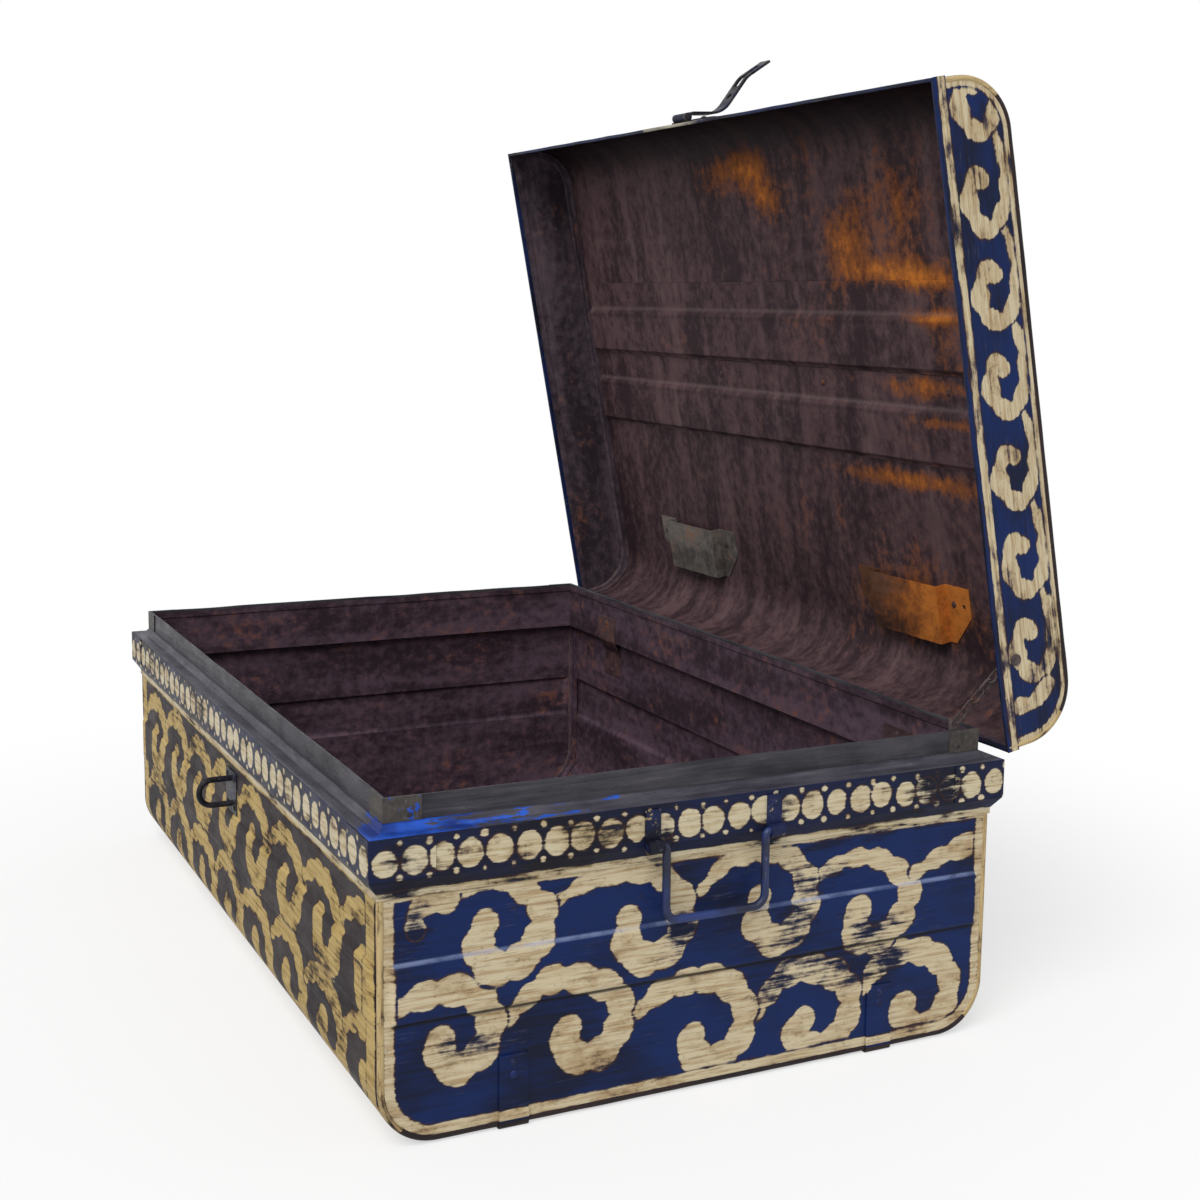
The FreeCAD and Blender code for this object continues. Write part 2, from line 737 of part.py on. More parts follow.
def handle_bail(name, side):
    """A wire bail: out-turned ends in the lugs, two legs and the grip across the bottom."""
    label = "handle_bail_" + name
    body = new_body(label)
    out = "(%d) * (half_length + bail_out)" % side
    leg = "(bail_width / 2)"
    tip = "(bail_width / 2 + bail_wire + lug_width + 2 * fit)"
    path = sketch_on(body, label + "_path", "YZ_Plane", out)
    tight = "bail_wire + fit"
    draw(path, [
        ("-" + tip, "bail_pivot"),
        ("-" + leg, "bail_pivot", tight),
        ("-" + leg, "bail_pivot - bail_drop", "bail_bend"),
        (leg, "bail_pivot - bail_drop", "bail_bend"),
        (leg, "bail_pivot", tight),
        (tip, "bail_pivot"),
    ], closed=False)
    wire = sketch_on(body, label + "_wire", "XZ_Plane", tip)
    circle(wire, out, "bail_pivot", "bail_wire")
    pipe(body, wire, path, 9)


# Hasp and staple: the padlock fastening on the front

def staple_plate():
    body = new_body("staple_plate")
    plan = sketch_on(body, "staple_plate_plan", "XZ_Plane", "wall_width")
    half = "(staple_plate_width / 2)"
    rectangle(plan, "-" + half, half, "staple_middle - staple_plate_height / 2",
              "staple_middle + staple_plate_height / 2")
    pad(body, plan, "strap_sheet")


def staple():
    body = new_body("staple")
    root = "-wall_width - strap_sheet"
    tip = "-wall_width - staple_reach + staple_wire"
    path = sketch_on(body, "staple_path", "YZ_Plane")
    draw(path, [
        (root, "staple_middle + staple_half"),
        (tip, "staple_middle + staple_half", "staple_half - fit"),
        (tip, "staple_middle - staple_half", "staple_half - fit"),
        (root, "staple_middle - staple_half"),
    ], closed=False)
    wire = sketch_on(body, "staple_section", "XZ_Plane", "wall_width + strap_sheet")
    circle(wire, "0", "staple_middle + staple_half", "staple_wire")
    pipe(body, wire, path, 5)


def hasp_plate():
    """The hasp's fixed leaf: it lies on the lid's rim and is bent over the lid's front corner."""
    body = new_body("hasp_plate")
    bend_inside = "half_width - lid_width + lid_corner"
    bend_outside = bend_inside + " + strap_sheet"
    bend_level = "lid_top - lid_corner"
    inner_apex = "%s + (%s) * tan(hasp_wrap / 2)" % (bend_level, bend_inside)
    outer_apex = "%s + (%s) * tan(hasp_wrap / 2)" % (bend_level, bend_outside)
    inner_run = "((%s) * tan(hasp_wrap / 2) + hasp_tail)" % bend_inside
    outer_run = "((%s) * tan(hasp_wrap / 2) + hasp_tail)" % bend_outside
    section = sketch_on(body, "hasp_plate_section", "YZ_Plane")
    draw(section, [
        ("-half_width", "hasp_axle"),
        ("-half_width", inner_apex, bend_inside),
        ("-half_width + %s * sin(hasp_wrap)" % inner_run,
         "%s + %s * cos(hasp_wrap)" % (inner_apex, inner_run)),
        ("-half_width - strap_sheet + %s * sin(hasp_wrap)" % outer_run,
         "%s + %s * cos(hasp_wrap)" % (outer_apex, outer_run)),
        ("-half_width - strap_sheet", outer_apex, bend_outside),
        ("-half_width - strap_sheet", "hasp_axle"),
    ])
    pad(body, section, "hasp_plate_width", both_ways=True)
    inner = "(hasp_knuckle / 2 + end_play)"
    outer = "(hasp_knuckle / 2 + end_play + hasp_side_knuckle)"
    edge = "(hasp_plate_width / 2 + sheet)"
    foot = "hasp_axle - sheet"
    step = "hasp_axle + knuckle_radius + 2 * fit"
    notch_spans = (("left", "-" + edge, "-" + outer), ("middle", "-" + inner, inner), ("right", outer, edge))
    for place, left, right in notch_spans:
        notch = sketch_on(body, "hasp_plate_notch_" + place, "XZ_Plane", "half_width")
        rectangle(notch, left, right, foot, step)
        pocket(body, notch, "4 * strap_sheet", both_ways=True)
    for place, sign in SIDES.items():
        middle = "(%d) * (hasp_knuckle / 2 + end_play + hasp_side_knuckle / 2)" % sign
        knuckle(body, "hasp_plate_knuckle_" + place, "-half_width - hasp_out", "hasp_axle", middle,
                "hasp_side_knuckle")
    bore(body, "hasp_plate_bore", "-half_width - hasp_out", "hasp_axle", "0", "2 * hasp_plate_width")
    body.Placement = lid_swing


def hasp_pin():
    body = new_body("hasp_pin")
    end = sketch_on(body, "hasp_pin_end", "YZ_Plane")
    circle(end, "-half_width - hasp_out", "hasp_axle", "pin_radius")
    pad(body, end, "hasp_knuckle + 2 * (end_play + hasp_side_knuckle + pin_overhang)", both_ways=True)
    body.Placement = lid_swing


def hasp():
    """The bowed tongue, drawn hanging from its pin and then folded up against the lid."""
    body = new_body("hasp")
    knuckle(body, "hasp_knuckle_ring", "0", "0", "0", "hasp_knuckle")
    tab = sketch_on(body, "hasp_tab_plan", "XZ_Plane")
    rectangle(tab, "-hasp_knuckle / 2", "hasp_knuckle / 2", "-hasp_tab", "0")
    pad(body, tab, "hasp_sheet", both_ways=True)
    start = "knuckle_radius + 2 * fit"
    path = sketch_on(body, "hasp_path", "YZ_Plane")
    draw(path, [
        ("0", "-(%s)" % start),
        ("0", "-hasp_tab", "hasp_sheet"),
        ("-hasp_bow", "-hasp_bow_at", "hasp_bend"),
        ("-2 * fit", "-hasp_back_at", "hasp_bend"),
        ("0", "-hasp_length"),
    ], closed=False)
    strip = sketch_on(body, "hasp_strip", "XY_Plane", "-(%s)" % start)
    rectangle(strip, "-hasp_width / 2", "hasp_width / 2", "-hasp_sheet / 2", "hasp_sheet / 2")
    pipe(body, strip, path, 7)
    bore(body, "hasp_bore", "0", "0", "0", "2 * hasp_knuckle")
    slot_middle = "staple_middle - (hasp_axle)"
    slot = sketch_on(body, "hasp_slot_plan", "XZ_Plane", "hasp_bow / 2")
    half = "(hasp_slot_width / 2)"
    rectangle(slot, "-" + half, half, slot_middle + " - hasp_slot / 2", slot_middle + " + hasp_slot / 2")
    pocket(body, slot, "4 * hasp_bow", both_ways=True)
    hole = sketch_on(body, "hasp_hole_plan", "XZ_Plane", "hasp_bow / 2")
    circle(hole, "0", "-hasp_hole_at", "hasp_hole")
    pocket(body, hole, "4 * hasp_bow", both_ways=True)
    pivot = V(0, -number("half_width + hasp_out"), number("hasp_axle"))
    fold = FreeCAD.Rotation(V(1, 0, 0), -number("hasp_fold"))
    body.Placement = lid_swing.multiply(FreeCAD.Placement(pivot, fold))


# Inside the lid: two formed battens and two hat-shaped brackets

def batten(name, shift):
    label = "lid_batten_" + name
    body = new_body(label)
    section = sketch_on(body, label + "_section", "YZ_Plane")
    front = "batten_front + %s * (batten_width + sheet)" % shift
    fall = front + " + batten_flange"
    back = front + " + batten_width"
    low = "crown_under - batten_depth"
    draw(section, [
        (front, "crown_under"),
        (fall, "crown_under"),
        (fall + " + batten_slope", low + " + sheet"),
        (back + " - batten_slope", low + " + sheet"),
        (back + " - sheet", "crown_under"),
        (back, "crown_under"),
        (back, "crown_under - sheet"),
        (back + " - batten_slope + sheet", low),
        (fall + " + batten_slope - sheet / 2", low),
        (fall + " - sheet / 2", "crown_under - sheet"),
        (front, "crown_under - sheet"),
    ])
    pad(body, section, "2 * (lid_length - batten_end_room)", both_ways=True)
    body.Placement = lid_swing


def bracket(name, side):
    """A hat-shaped bracket: a raised face between two tapered ears on the crown."""
    label = "lid_bracket_" + name
    body = new_body(label)
    middle = "(%d) * bracket_spread" % side
    face = "(bracket_face / 2)"
    wide = "(bracket_face / 2 + bracket_ear)"
    high = "crown_under"
    low = "crown_under - bracket_depth"
    section = sketch_on(body, label + "_section", "XZ_Plane", "-bracket_front - bracket_length / 2")
    draw(section, [
        (middle + " - " + wide, high),
        (middle + " - " + face, high),
        (middle + " - " + face, low + " + sheet"),
        (middle + " + " + face, low + " + sheet"),
        (middle + " + " + face, high),
        (middle + " + " + wide, high),
        (middle + " + " + wide, high + " - sheet"),
        (middle + " + " + face + " + sheet", high + " - sheet"),
        (middle + " + " + face + " + sheet", low),
        (middle + " - " + face + " - sheet", low),
        (middle + " - " + face + " - sheet", high + " - sheet"),
        (middle + " - " + wide, high + " - sheet"),
    ])
    pad(body, section, "bracket_length", both_ways=True)
    back = "bracket_front + bracket_length"
    for ear, sign in (("near", "+"), ("far", "-")):
        toe = "%s %s (bracket_face / 2 + bracket_toe)" % (middle, sign)
        tip = "%s %s (bracket_face / 2 + bracket_ear)" % (middle, sign)
        beyond = "%s %s (bracket_face / 2 + 2 * bracket_ear)" % (middle, sign)
        square = "bracket_front + bracket_square"
        trim = sketch_on(body, "%s_trim_%s" % (label, ear), "XY_Plane", "crown_under")
        draw(trim, [(toe, back), (tip, square), (beyond, square), (beyond, back + " + sheet"),
                    (toe, back + " + sheet")])
        pocket(body, trim, "4 * bracket_depth", both_ways=True)
        hole = sketch_on(body, "%s_hole_%s" % (label, ear), "XY_Plane", "crown_under")
        circle(hole, "%s %s (bracket_face / 2 + bracket_hole_out)" % (middle, sign),
               "bracket_front + bracket_rivet_up", "bracket_hole")
        pocket(body, hole, "4 * sheet", both_ways=True)
    body.Placement = lid_swing


# Stay: a lug on the collar, an eye in the lid's right end and a chain between them

def stay_points():
    """The middle of the lug's hole and of the eye's ring, with the lid up."""
    lug = V(number("half_length - collar_inner - sheet - strap_sheet / 2"),
            number("half_width - stay_from_back"),
            number("collar_top + stay_lug_rise / 2"))
    eye = V(number("lid_length - sheet - eye_stand"),
            number("half_width - eye_from_back"), number("belt_top + eye_height"))
    return lug, lid_swing.multVec(eye)


def stay_lug():
    body = new_body("stay_lug")
    inner = "half_length - collar_inner - sheet - strap_sheet"
    plan = sketch_on(body, "stay_lug_plan", "YZ_Plane", inner)
    middle = "half_width - stay_from_back"
    half = "(stay_lug_width / 2)"
    rectangle(plan, middle + " - " + half, middle + " + " + half, "collar_top - stay_lug_drop",
              "collar_top + stay_lug_rise")
    pad(body, plan, "strap_sheet")
    hole = sketch_on(body, "stay_lug_hole", "YZ_Plane", inner)
    circle(hole, middle, "collar_top + stay_lug_rise / 2", "stay_hole")
    pocket(body, hole, "4 * strap_sheet", both_ways=True)


def stay_eye(pull):
    """An eye rivet: head outside the lid's end, shank through it and a ring inside."""
    head = doc.addObject("Part::Cylinder", "stay_eye_head")
    bind(head, Radius="eye_head", Height="eye_head_height")
    shank = doc.addObject("Part::Cylinder", "stay_eye_shank")
    length = "sheet + eye_stand - eye_ring"
    bind(shank, Radius="eye_shank", Height=length)
    shank.setExpression("Placement.Base.z", bound("-(%s)" % length))
    ring = doc.addObject("Part::Torus", "stay_eye_ring")
    bind(ring, Radius1="eye_ring", Radius2="link_wire")
    ring.setExpression("Placement.Base.z", bound("-sheet - eye_stand"))
    ring.Placement.Rotation = FreeCAD.Rotation(V(1, 0, 0), 90)
    eye = doc.addObject("Part::MultiFuse", "stay_eye")
    eye.Label = "stay_eye"
    eye.Shapes = [head, shank, ring]
    across = V(0, -pull.z, pull.y)
    frame = FreeCAD.Rotation(V(0, pull.y, pull.z), across, V(1, 0, 0), "ZXY")
    seat = V(number("lid_length"), number("half_width - eye_from_back"), number("belt_top + eye_height"))
    eye.Placement = FreeCAD.Placement(lid_swing.multVec(seat), frame)
    nodes.append(eye)


def stay_chain(lug, eye):
    pull = (eye - lug).normalize()
    wire = number("link_wire")
    play = number("link_play")
    start = lug + pull * (number("stay_hole") - wire - 2 * play)
    finish = eye - pull * (number("eye_ring") - 2 * wire - play)
    span = (finish - start).Length
    overlap = 2 * wire + play
    reach = (span + (LINK_COUNT - 1) * overlap) / LINK_COUNT
    side = number("link_half_width") - wire
    low = V(0, 0, side)
    high = V(0, 0, reach - side)
    edges = [
        Part.LineSegment(low + V(side, 0, 0), high + V(side, 0, 0)).toShape(),
        Part.Arc(high + V(side, 0, 0), high + V(0, 0, side), high - V(side, 0, 0)).toShape(),
        Part.LineSegment(high - V(side, 0, 0), low - V(side, 0, 0)).toShape(),
        Part.Arc(low - V(side, 0, 0), low - V(0, 0, side), low + V(side, 0, 0)).toShape(),
    ]
    section = Part.Wire(Part.makeCircle(wire, low + V(side, 0, 0), V(0, 0, 1)))
    link = Part.Wire(edges).makePipeShell([section], True, False)
    flat = FreeCAD.Rotation(V(1, 0, 0), V(0, 0, 0), pull, "ZXY")
    links = []
    for index in range(LINK_COUNT):
        quarter = FreeCAD.Rotation(V(0, 0, 1), 90 * (index % 2))
        foot = start + pull * (index * (reach - overlap))
        links.append(link.transformed(FreeCAD.Placement(foot, flat.multiply(quarter)).toMatrix()))
    chain = doc.addObject("Part::Feature", "stay_chain")
    chain.Label = "stay_chain"
    chain.Shape = Part.makeCompound(links)
    nodes.append(chain)


# Rivets: domed heads in groups

def rivet_head():
    """A domed head standing along Z on its seat."""
    dome = doc.addObject("Part::Sphere", "rivet_head")
    bind(dome, Radius="rivet_ball", Angle1="asin((rivet_ball - rivet_height) / rivet_ball)")
    dome.setExpression("Placement.Base.z", bound("rivet_height - rivet_ball"))
    doc.recompute()
    return dome.Shape


def rivets(label, seats, swing=None):
    """Heads at (x, y, z) size lines, each with the direction that it faces."""
    heads = []
    for place, facing in seats:
        spot = V(*[number(text) for text in place])
        turn = FreeCAD.Rotation(V(0, 0, 1), V(*facing))
        heads.append(dome.transformed(FreeCAD.Placement(spot, turn).toMatrix()))
    group = doc.addObject("Part::Feature", label)
    group.Label = label
    group.Shape = Part.makeCompound(heads)
    if swing is not None:
        group.Placement = swing
    nodes.append(group)


def runner_rivets():
    seats = []
    for side in SIDES.values():
        face = "(%d) * (wall_length + strap_sheet)" % side
        for depth in (-1, 1):
            strap = "(%d) * runner_spread" % depth
            seats.append(((face, strap, "runner_height - rivet_edge"), (side, 0, 0)))
            seats.append(((face, strap, "runner_height - rivet_edge - rivet_pitch"), (side, 0, 0)))
    rivets("runner_rivets", seats)


def handle_rivets():
    seats = []
    for side in SIDES.values():
        face = "(%d) * (half_length + lug_wall)" % side
        for along in (-1, 1):
            lug = "(%d) * (bail_width / 2 + bail_wire + fit + lug_width / 2)" % along
            seats.append(((face, lug, "bail_pivot + lug_height - rivet_edge"), (side, 0, 0)))
    rivets("handle_rivets", seats)


def hinge_rivets():
    base_seats = []
    lid_seats = []
    strap_seats = []
    for side in SIDES.values():
        middle = "(%d) * hinge_spread" % side
        for along in (-1, 1):
            leaf = middle + " + (%d) * (hinge_width / 2 - rivet_edge)" % along
            face = "half_width + strap_sheet"
            base_seats.append(((leaf, face, "belt_top - hinge_leaf + rivet_edge"), (0, 1, 0)))
            lid_seats.append(((leaf, face, "belt_top + hinge_leaf - rivet_edge"), (0, 1, 0)))
        upper = "half_width - collar_inner - strap_sheet"
        lower = "wall_width - sheet - strap_sheet"
        strap_seats.append(((middle, upper, "belt_top - rivet_edge"), (0, -1, 0)))
        strap_seats.append(((middle, lower, "strap_foot + rivet_edge"), (0, -1, 0)))
    rivets("hinge_base_rivets", base_seats)
    rivets("hinge_lid_rivets", lid_seats, lid_swing)
    rivets("hinge_strap_rivets", strap_seats)


def lid_rivets():
    bracket_seats = []
    for side in SIDES.values():
        for along in (-1, 1):
            ear = "(%d) * bracket_spread + (%d) * (bracket_face / 2 + bracket_rivet_out)" % (side, along)
            seat = (ear, "bracket_front + bracket_rivet_up", "crown_under - sheet")
            bracket_seats.append((seat, (0, 0, -1)))
    rivets("lid_bracket_rivets", bracket_seats, lid_swing)
    batten_seats = []
    for shift in range(2):
        along = "batten_front + %d * (batten_width + sheet) + batten_flange / 2" % shift
        for index in range(BATTEN_RIVETS):
            share = "(%d / %d - 1)" % (2 * index + 1, BATTEN_RIVETS)
            across = share + " * (lid_length - batten_end_room)"
            batten_seats.append(((across, along, "crown_under - sheet"), (0, 0, -1)))
    rivets("lid_batten_rivets", batten_seats, lid_swing)


def hasp_and_staple_rivets():
    staple_seats = []
    hasp_seats = []
    tail_turn = math.radians(number("hasp_wrap"))
    tail_facing = (0, -math.cos(tail_turn), math.sin(tail_turn))
    bend = "(half_width - lid_width + lid_corner + strap_sheet)"
    tail_across = "lid_corner - lid_width - %s * cos(hasp_wrap) + hasp_tail / 2 * sin(hasp_wrap)" % bend
    tail_level = "lid_top - lid_corner + %s * sin(hasp_wrap) + hasp_tail / 2 * cos(hasp_wrap)" % bend
    for side in SIDES.values():
        across = "(%d) * (staple_plate_width / 2 - rivet_edge)" % side
        for edge in (1, -1):
            level = "staple_middle + (%d) * (staple_plate_height / 2 - rivet_edge)" % edge
            staple_seats.append(((across, "-wall_width - strap_sheet", level), (0, -1, 0)))
        across = "(%d) * (hasp_plate_width / 2 - rivet_edge)" % side
        low_seat = (across, "-half_width - strap_sheet", "lid_top - lid_corner - rivet_radius - fit")
        hasp_seats.append((low_seat, (0, -1, 0)))
        hasp_seats.append(((across, tail_across, tail_level), tail_facing))
    rivets("staple_rivets", staple_seats)
    rivets("hasp_rivets", hasp_seats, lid_swing)


def stay_rivet():
    lug_face = "half_length - collar_inner - sheet - strap_sheet"
    seat = (lug_face, "half_width - stay_from_back", "collar_top - stay_lug_drop / 2")
    rivets("stay_rivet", [(seat, (-1, 0, 0))])


# Putting the trunk together

body_wrap()
belt()
collar()
corners()
runner("runner_front", -1)
runner("runner_back", 1)
staple_plate()
staple()
lid_wrap()
lid_rim()
batten("front", "0")
batten("back", "1")
hasp_plate()
hasp_pin()
hasp()
stay_lug()
lug_middle, eye_middle = stay_points()
stay_eye((eye_middle - lug_middle).normalize())
stay_chain(lug_middle, eye_middle)
for name, side in SIDES.items():
    end_panel("end_panel_" + name, side, "wall_length", "wall_width", "wall_foot", "wall_top",
              "body_corner", "lip_foot - fit", True)
    lid_end(name, side)
    base_leaf(name, side)
    lid_leaf(name, side)
    hinge_pin(name, side)
    hinge_strap(name, side)
    handle_bail(name, side)
    bracket(name, side)
    for place, along in (("front", -1), ("back", 1)):
        handle_lug(name, side, place, along)
dome = rivet_head()
runner_rivets()
handle_rivets()
hinge_rivets()
lid_rivets()
hasp_and_staple_rivets()
stay_rivet()
doc.recompute()

# Every object has to be sound before anything is written

for item in doc.Objects:
    if "Invalid" in item.State or "Error" in item.State:
        raise RuntimeError("%s failed: %s" % (item.Name, item.State))
for node in nodes:
    if node.Shape.isNull() or not node.Shape.isValid():
        raise RuntimeError("%s has no sound shape" % node.Label)
os.makedirs("parts", exist_ok=True)
for node in nodes:
    node.Shape.exportStep("parts/%s.step" % node.Label)
print("%d pieces written" % len(nodes))
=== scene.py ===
import math

import bpy
import numpy as np
from mathutils import Matrix, Vector


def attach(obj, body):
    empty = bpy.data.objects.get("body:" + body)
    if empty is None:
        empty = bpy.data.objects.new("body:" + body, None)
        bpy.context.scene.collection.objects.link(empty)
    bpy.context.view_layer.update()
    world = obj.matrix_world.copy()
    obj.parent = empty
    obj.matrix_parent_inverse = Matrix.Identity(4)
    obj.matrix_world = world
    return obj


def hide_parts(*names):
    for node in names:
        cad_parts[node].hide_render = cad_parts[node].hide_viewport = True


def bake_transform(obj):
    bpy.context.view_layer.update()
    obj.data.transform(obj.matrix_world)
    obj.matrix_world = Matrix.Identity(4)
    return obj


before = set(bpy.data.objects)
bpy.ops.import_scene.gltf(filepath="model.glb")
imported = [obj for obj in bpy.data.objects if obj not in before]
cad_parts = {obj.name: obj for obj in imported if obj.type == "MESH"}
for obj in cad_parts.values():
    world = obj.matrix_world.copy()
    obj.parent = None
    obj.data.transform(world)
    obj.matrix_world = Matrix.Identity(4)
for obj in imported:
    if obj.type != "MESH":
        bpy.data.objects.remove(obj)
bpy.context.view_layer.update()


# Trunk wrap
# One sheet of steel bent round the front, the bottom and the back of the trunk, with a raised band pressed
# along the front and the back. It is brush-painted with running scrolls outside and left bare inside.

belt_length = 0.854
belt_width = 0.560
belt_top = 0.240
belt_reach = 0.008
sheet = 0.001
under_ledge = 0.0012
wall_length = belt_length / 2 - belt_reach
wall_width = belt_width / 2 - belt_reach
wall_foot = 0.0015
wall_top = belt_top - under_ledge
body_corner = 0.046
bead_radius = 0.003
bead_stand = 0.001
seam = 0.0002
wrap_length = wall_length + bead_stand - 2 * bead_radius + seam
swage_bottom = 0.098
swage_top = 0.140
swage_reach = 0.003
swage_margin = 0.009
sharp_edge = math.radians(38)
# Dents in the sheet, which die away at its ends, at the bottom bend and under the belt.
dent_length = 0.22
dent_depth = 0.0006
dent_margin = 0.03
dent_foot = 0.02
dent_rise = 0.05
dent_top = 0.19


def straight(line, end, step):
    """Adds points to a line up to its next corner."""
    start = line[-1]
    count = max(1, math.ceil(np.linalg.norm(end - start) / step))
    for index in range(1, count + 1):
        line.append(start + (end - start) * index / count)


def bent_line(corners, step):
    """Points along straight runs; a corner (across, up, radius) is rounded."""
    points = [np.array(corner[:2], float) for corner in corners]
    line = [points[0]]
    for index in range(1, len(points)):
        here = points[index]
        if len(corners[index]) == 2:
            straight(line, here, step)
            continue
        radius = corners[index][2]
        before = here - points[index - 1]
        before = before / np.linalg.norm(before)
        after = points[index + 1] - here
        after = after / np.linalg.norm(after)
        turn = math.acos(np.clip(before @ after, -1, 1))
        start = here - before * radius * math.tan(turn / 2)
        straight(line, start, step)
        side = after - before * (before @ after)
        side = side / np.linalg.norm(side)
        count = max(4, math.ceil(radius * turn / step))
        for part in range(1, count + 1):
            angle = turn * part / count
            swing = before * math.sin(angle) + side * (1 - math.cos(angle))
            line.append(start + swing * radius)
    return np.array(line)


def line_normals(line):
    """Unit normals to the left of a line of points."""
    along = np.gradient(line, axis=0)
    along = along / np.linalg.norm(along, axis=1, keepdims=True)
    return np.stack([-along[:, 1], along[:, 0]], axis=1)


def run_length(line):
    """How far along a line each of its points lies."""
    return np.concatenate([[0.0], np.cumsum(np.linalg.norm(np.diff(line, axis=0), axis=1))])


def fade(distance, width):
    """A share that grows from 0 to 1 over a width."""
    return np.clip(distance / width, 0, 1)


def bell(distance, width):
    """A share of 1 at no distance that dies away over a width."""
    return np.exp(-(distance / width) ** 2)


def waves(seed, length, depth):
    """A smooth uneven surface: height over two coordinates, with humps about one length apart."""
    humps = 12
    chance = np.random.default_rng(seed)
    turns = chance.uniform(0, 2 * math.pi, humps)
    rates = 2 * math.pi / (length * chance.uniform(0.7, 1.8, humps))
    starts = chance.uniform(0, 2 * math.pi, humps)

    def height(across, up):
        total = np.zeros(np.broadcast(across, up).shape)
        for turn, rate, start in zip(turns, rates, starts):
            total = total + np.sin(rate * (across * math.cos(turn) + up * math.sin(turn)) + start)
        return depth * total / math.sqrt(humps)
    return height


def grid_faces(rows, columns, closed=False):
    """Quads over a grid of points; a closed grid joins its last row to its first."""
    index = np.arange(rows * columns).reshape(rows, columns)
    if closed:
        index = np.concatenate([index, index[:1]])
    quads = [index[:-1, :-1], index[:-1, 1:], index[1:, 1:], index[1:, :-1]]
    return np.stack(quads, axis=-1).reshape(-1, 4)


def sheet_shell(outer, inner):
    """Points and quads of a sheet between two grids, with the number of quads on its outer side and rim."""
    rows, columns = outer.shape[:2]
    count = rows * columns
    points = np.concatenate([outer.reshape(-1, 3), inner.reshape(-1, 3)])
    front = grid_faces(rows, columns)
    back = front[:, ::-1] + count
    index = np.arange(count).reshape(rows, columns)
    rim = np.concatenate([index[0], index[1:, -1], index[-1, -2::-1], index[-2:0:-1, 0]])
    turned = np.roll(rim, -1)
    edge = np.stack([turned, rim, rim + count, turned + count], axis=-1)
    return points, np.concatenate([front, edge, back]), len(front) + len(edge)


def columns_across(line, half, count):
    """A grid of places across a sheet of a given half-length that is bent along a line."""
    return np.broadcast_to(np.linspace(-1, 1, count)[None, :] * half, (len(line), count))


def by_row(values, grid):
    """Values along a line, repeated over the rows of a grid."""
    return np.broadcast_to(values[:, None], grid.shape)


def folded_sheet(across, line, normals, out, thick):
    """A sheet bent along a line. out is how far its face stands off the line; its back lies behind that."""
    grids = []
    for back in (0.0, thick):
        spot = line[:, None, :] + normals[:, None, :] * (out - back)[:, :, None]
        grids.append(np.stack([across, spot[..., 0], spot[..., 1]], axis=-1))
    return sheet_shell(*grids)


def laid(along, up):
    """Where points lie on the flat sheet, along the brush first."""
    return np.stack(np.broadcast_arrays(along, up, 0.0), axis=-1).reshape(-1, 3)


def twice(values, width=1):
    """Values over a grid, listed for both sides of its sheet."""
    flat = np.reshape(values, (-1, width))
    return np.concatenate([flat, flat])


def add_piece(name, points, faces, materials, kinds, lay, **fields):
    """A smooth-shaded mesh piece. kinds is the material of each face, and lay is where each point lies on
    the flat sheet. fields are named values at the points."""
    mesh = bpy.data.meshes.new(name)
    mesh.from_pydata(np.asarray(points).tolist(), [], [list(face) for face in faces])
    for material in materials:
        mesh.materials.append(material)
    kinds = np.array(np.broadcast_to(kinds, len(faces)), dtype=np.int32)
    mesh.polygons.foreach_set("material_index", kinds)
    mesh.polygons.foreach_set("use_smooth", np.ones(len(faces), dtype=bool))
    mesh.attributes.new("lay", "FLOAT_VECTOR", "POINT").data.foreach_set("vector", np.ravel(lay))
    for label, values in fields.items():
        mesh.attributes.new(label, "FLOAT", "POINT").data.foreach_set("value", np.ravel(values))
    mesh.set_sharp_from_angle(angle=sharp_edge)
    mesh.update()
    piece = bpy.data.objects.new(name, mesh)
    bpy.context.collection.objects.link(piece)
    return piece


def settle(piece, node, body):
    """Puts a piece in place of its CAD node, on the body that carries it."""
    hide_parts(node)
    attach(piece, body)


def swage(up):
    """How far the pressed band stands out at a height."""
    rise = fade(up - swage_bottom + swage_reach, swage_reach)
    fall = fade(swage_top + swage_reach - up, swage_reach)
    return swage_reach * np.minimum(rise, fall)


# Paint is laid on as round dabs along strokes, kept as the distance from their edge, negative inside.
unpainted = 0.05
stroke_gap = 0.0016
dab_step = 0.004
last_dab = 1.1
lobe_turn = 1.2
lobe_depth = 0.20
lobe_error = 0.05
hand_error = 0.0014


def brush_dabs(line, girth, chance):
    """Round dabs along a smooth stroke through the given points, swelling and shrinking as lobes."""
    line = np.array(line, float)
    girth = np.array(girth, float)
    dabs = []
    count = len(line)
    for index in range(count - 1):
        before = line[max(index - 1, 0)]
        start = line[index]
        end = line[index + 1]
        after = line[min(index + 2, count - 1)]
        pieces = max(2, int(np.linalg.norm(end - start) / dab_step))
        for part in range(pieces):
            t = part / pieces
            bend = (2 * before - 5 * start + 4 * end - after) * t ** 2
            twist = (3 * start - before - 3 * end + after) * t ** 3
            spot = 0.5 * (2 * start + (end - before) * t + bend + twist)
            width = girth[index] * (1 - t) + girth[index + 1] * t
            lobe = 1.0 + lobe_depth * math.cos(len(dabs) * lobe_turn)
            lobe = lobe + chance.uniform(-lobe_error, lobe_error)
            dabs.append((spot[0], spot[1], width * lobe))
    dabs.append((line[-1][0], line[-1][1], girth[-1] * last_dab))
    return dabs


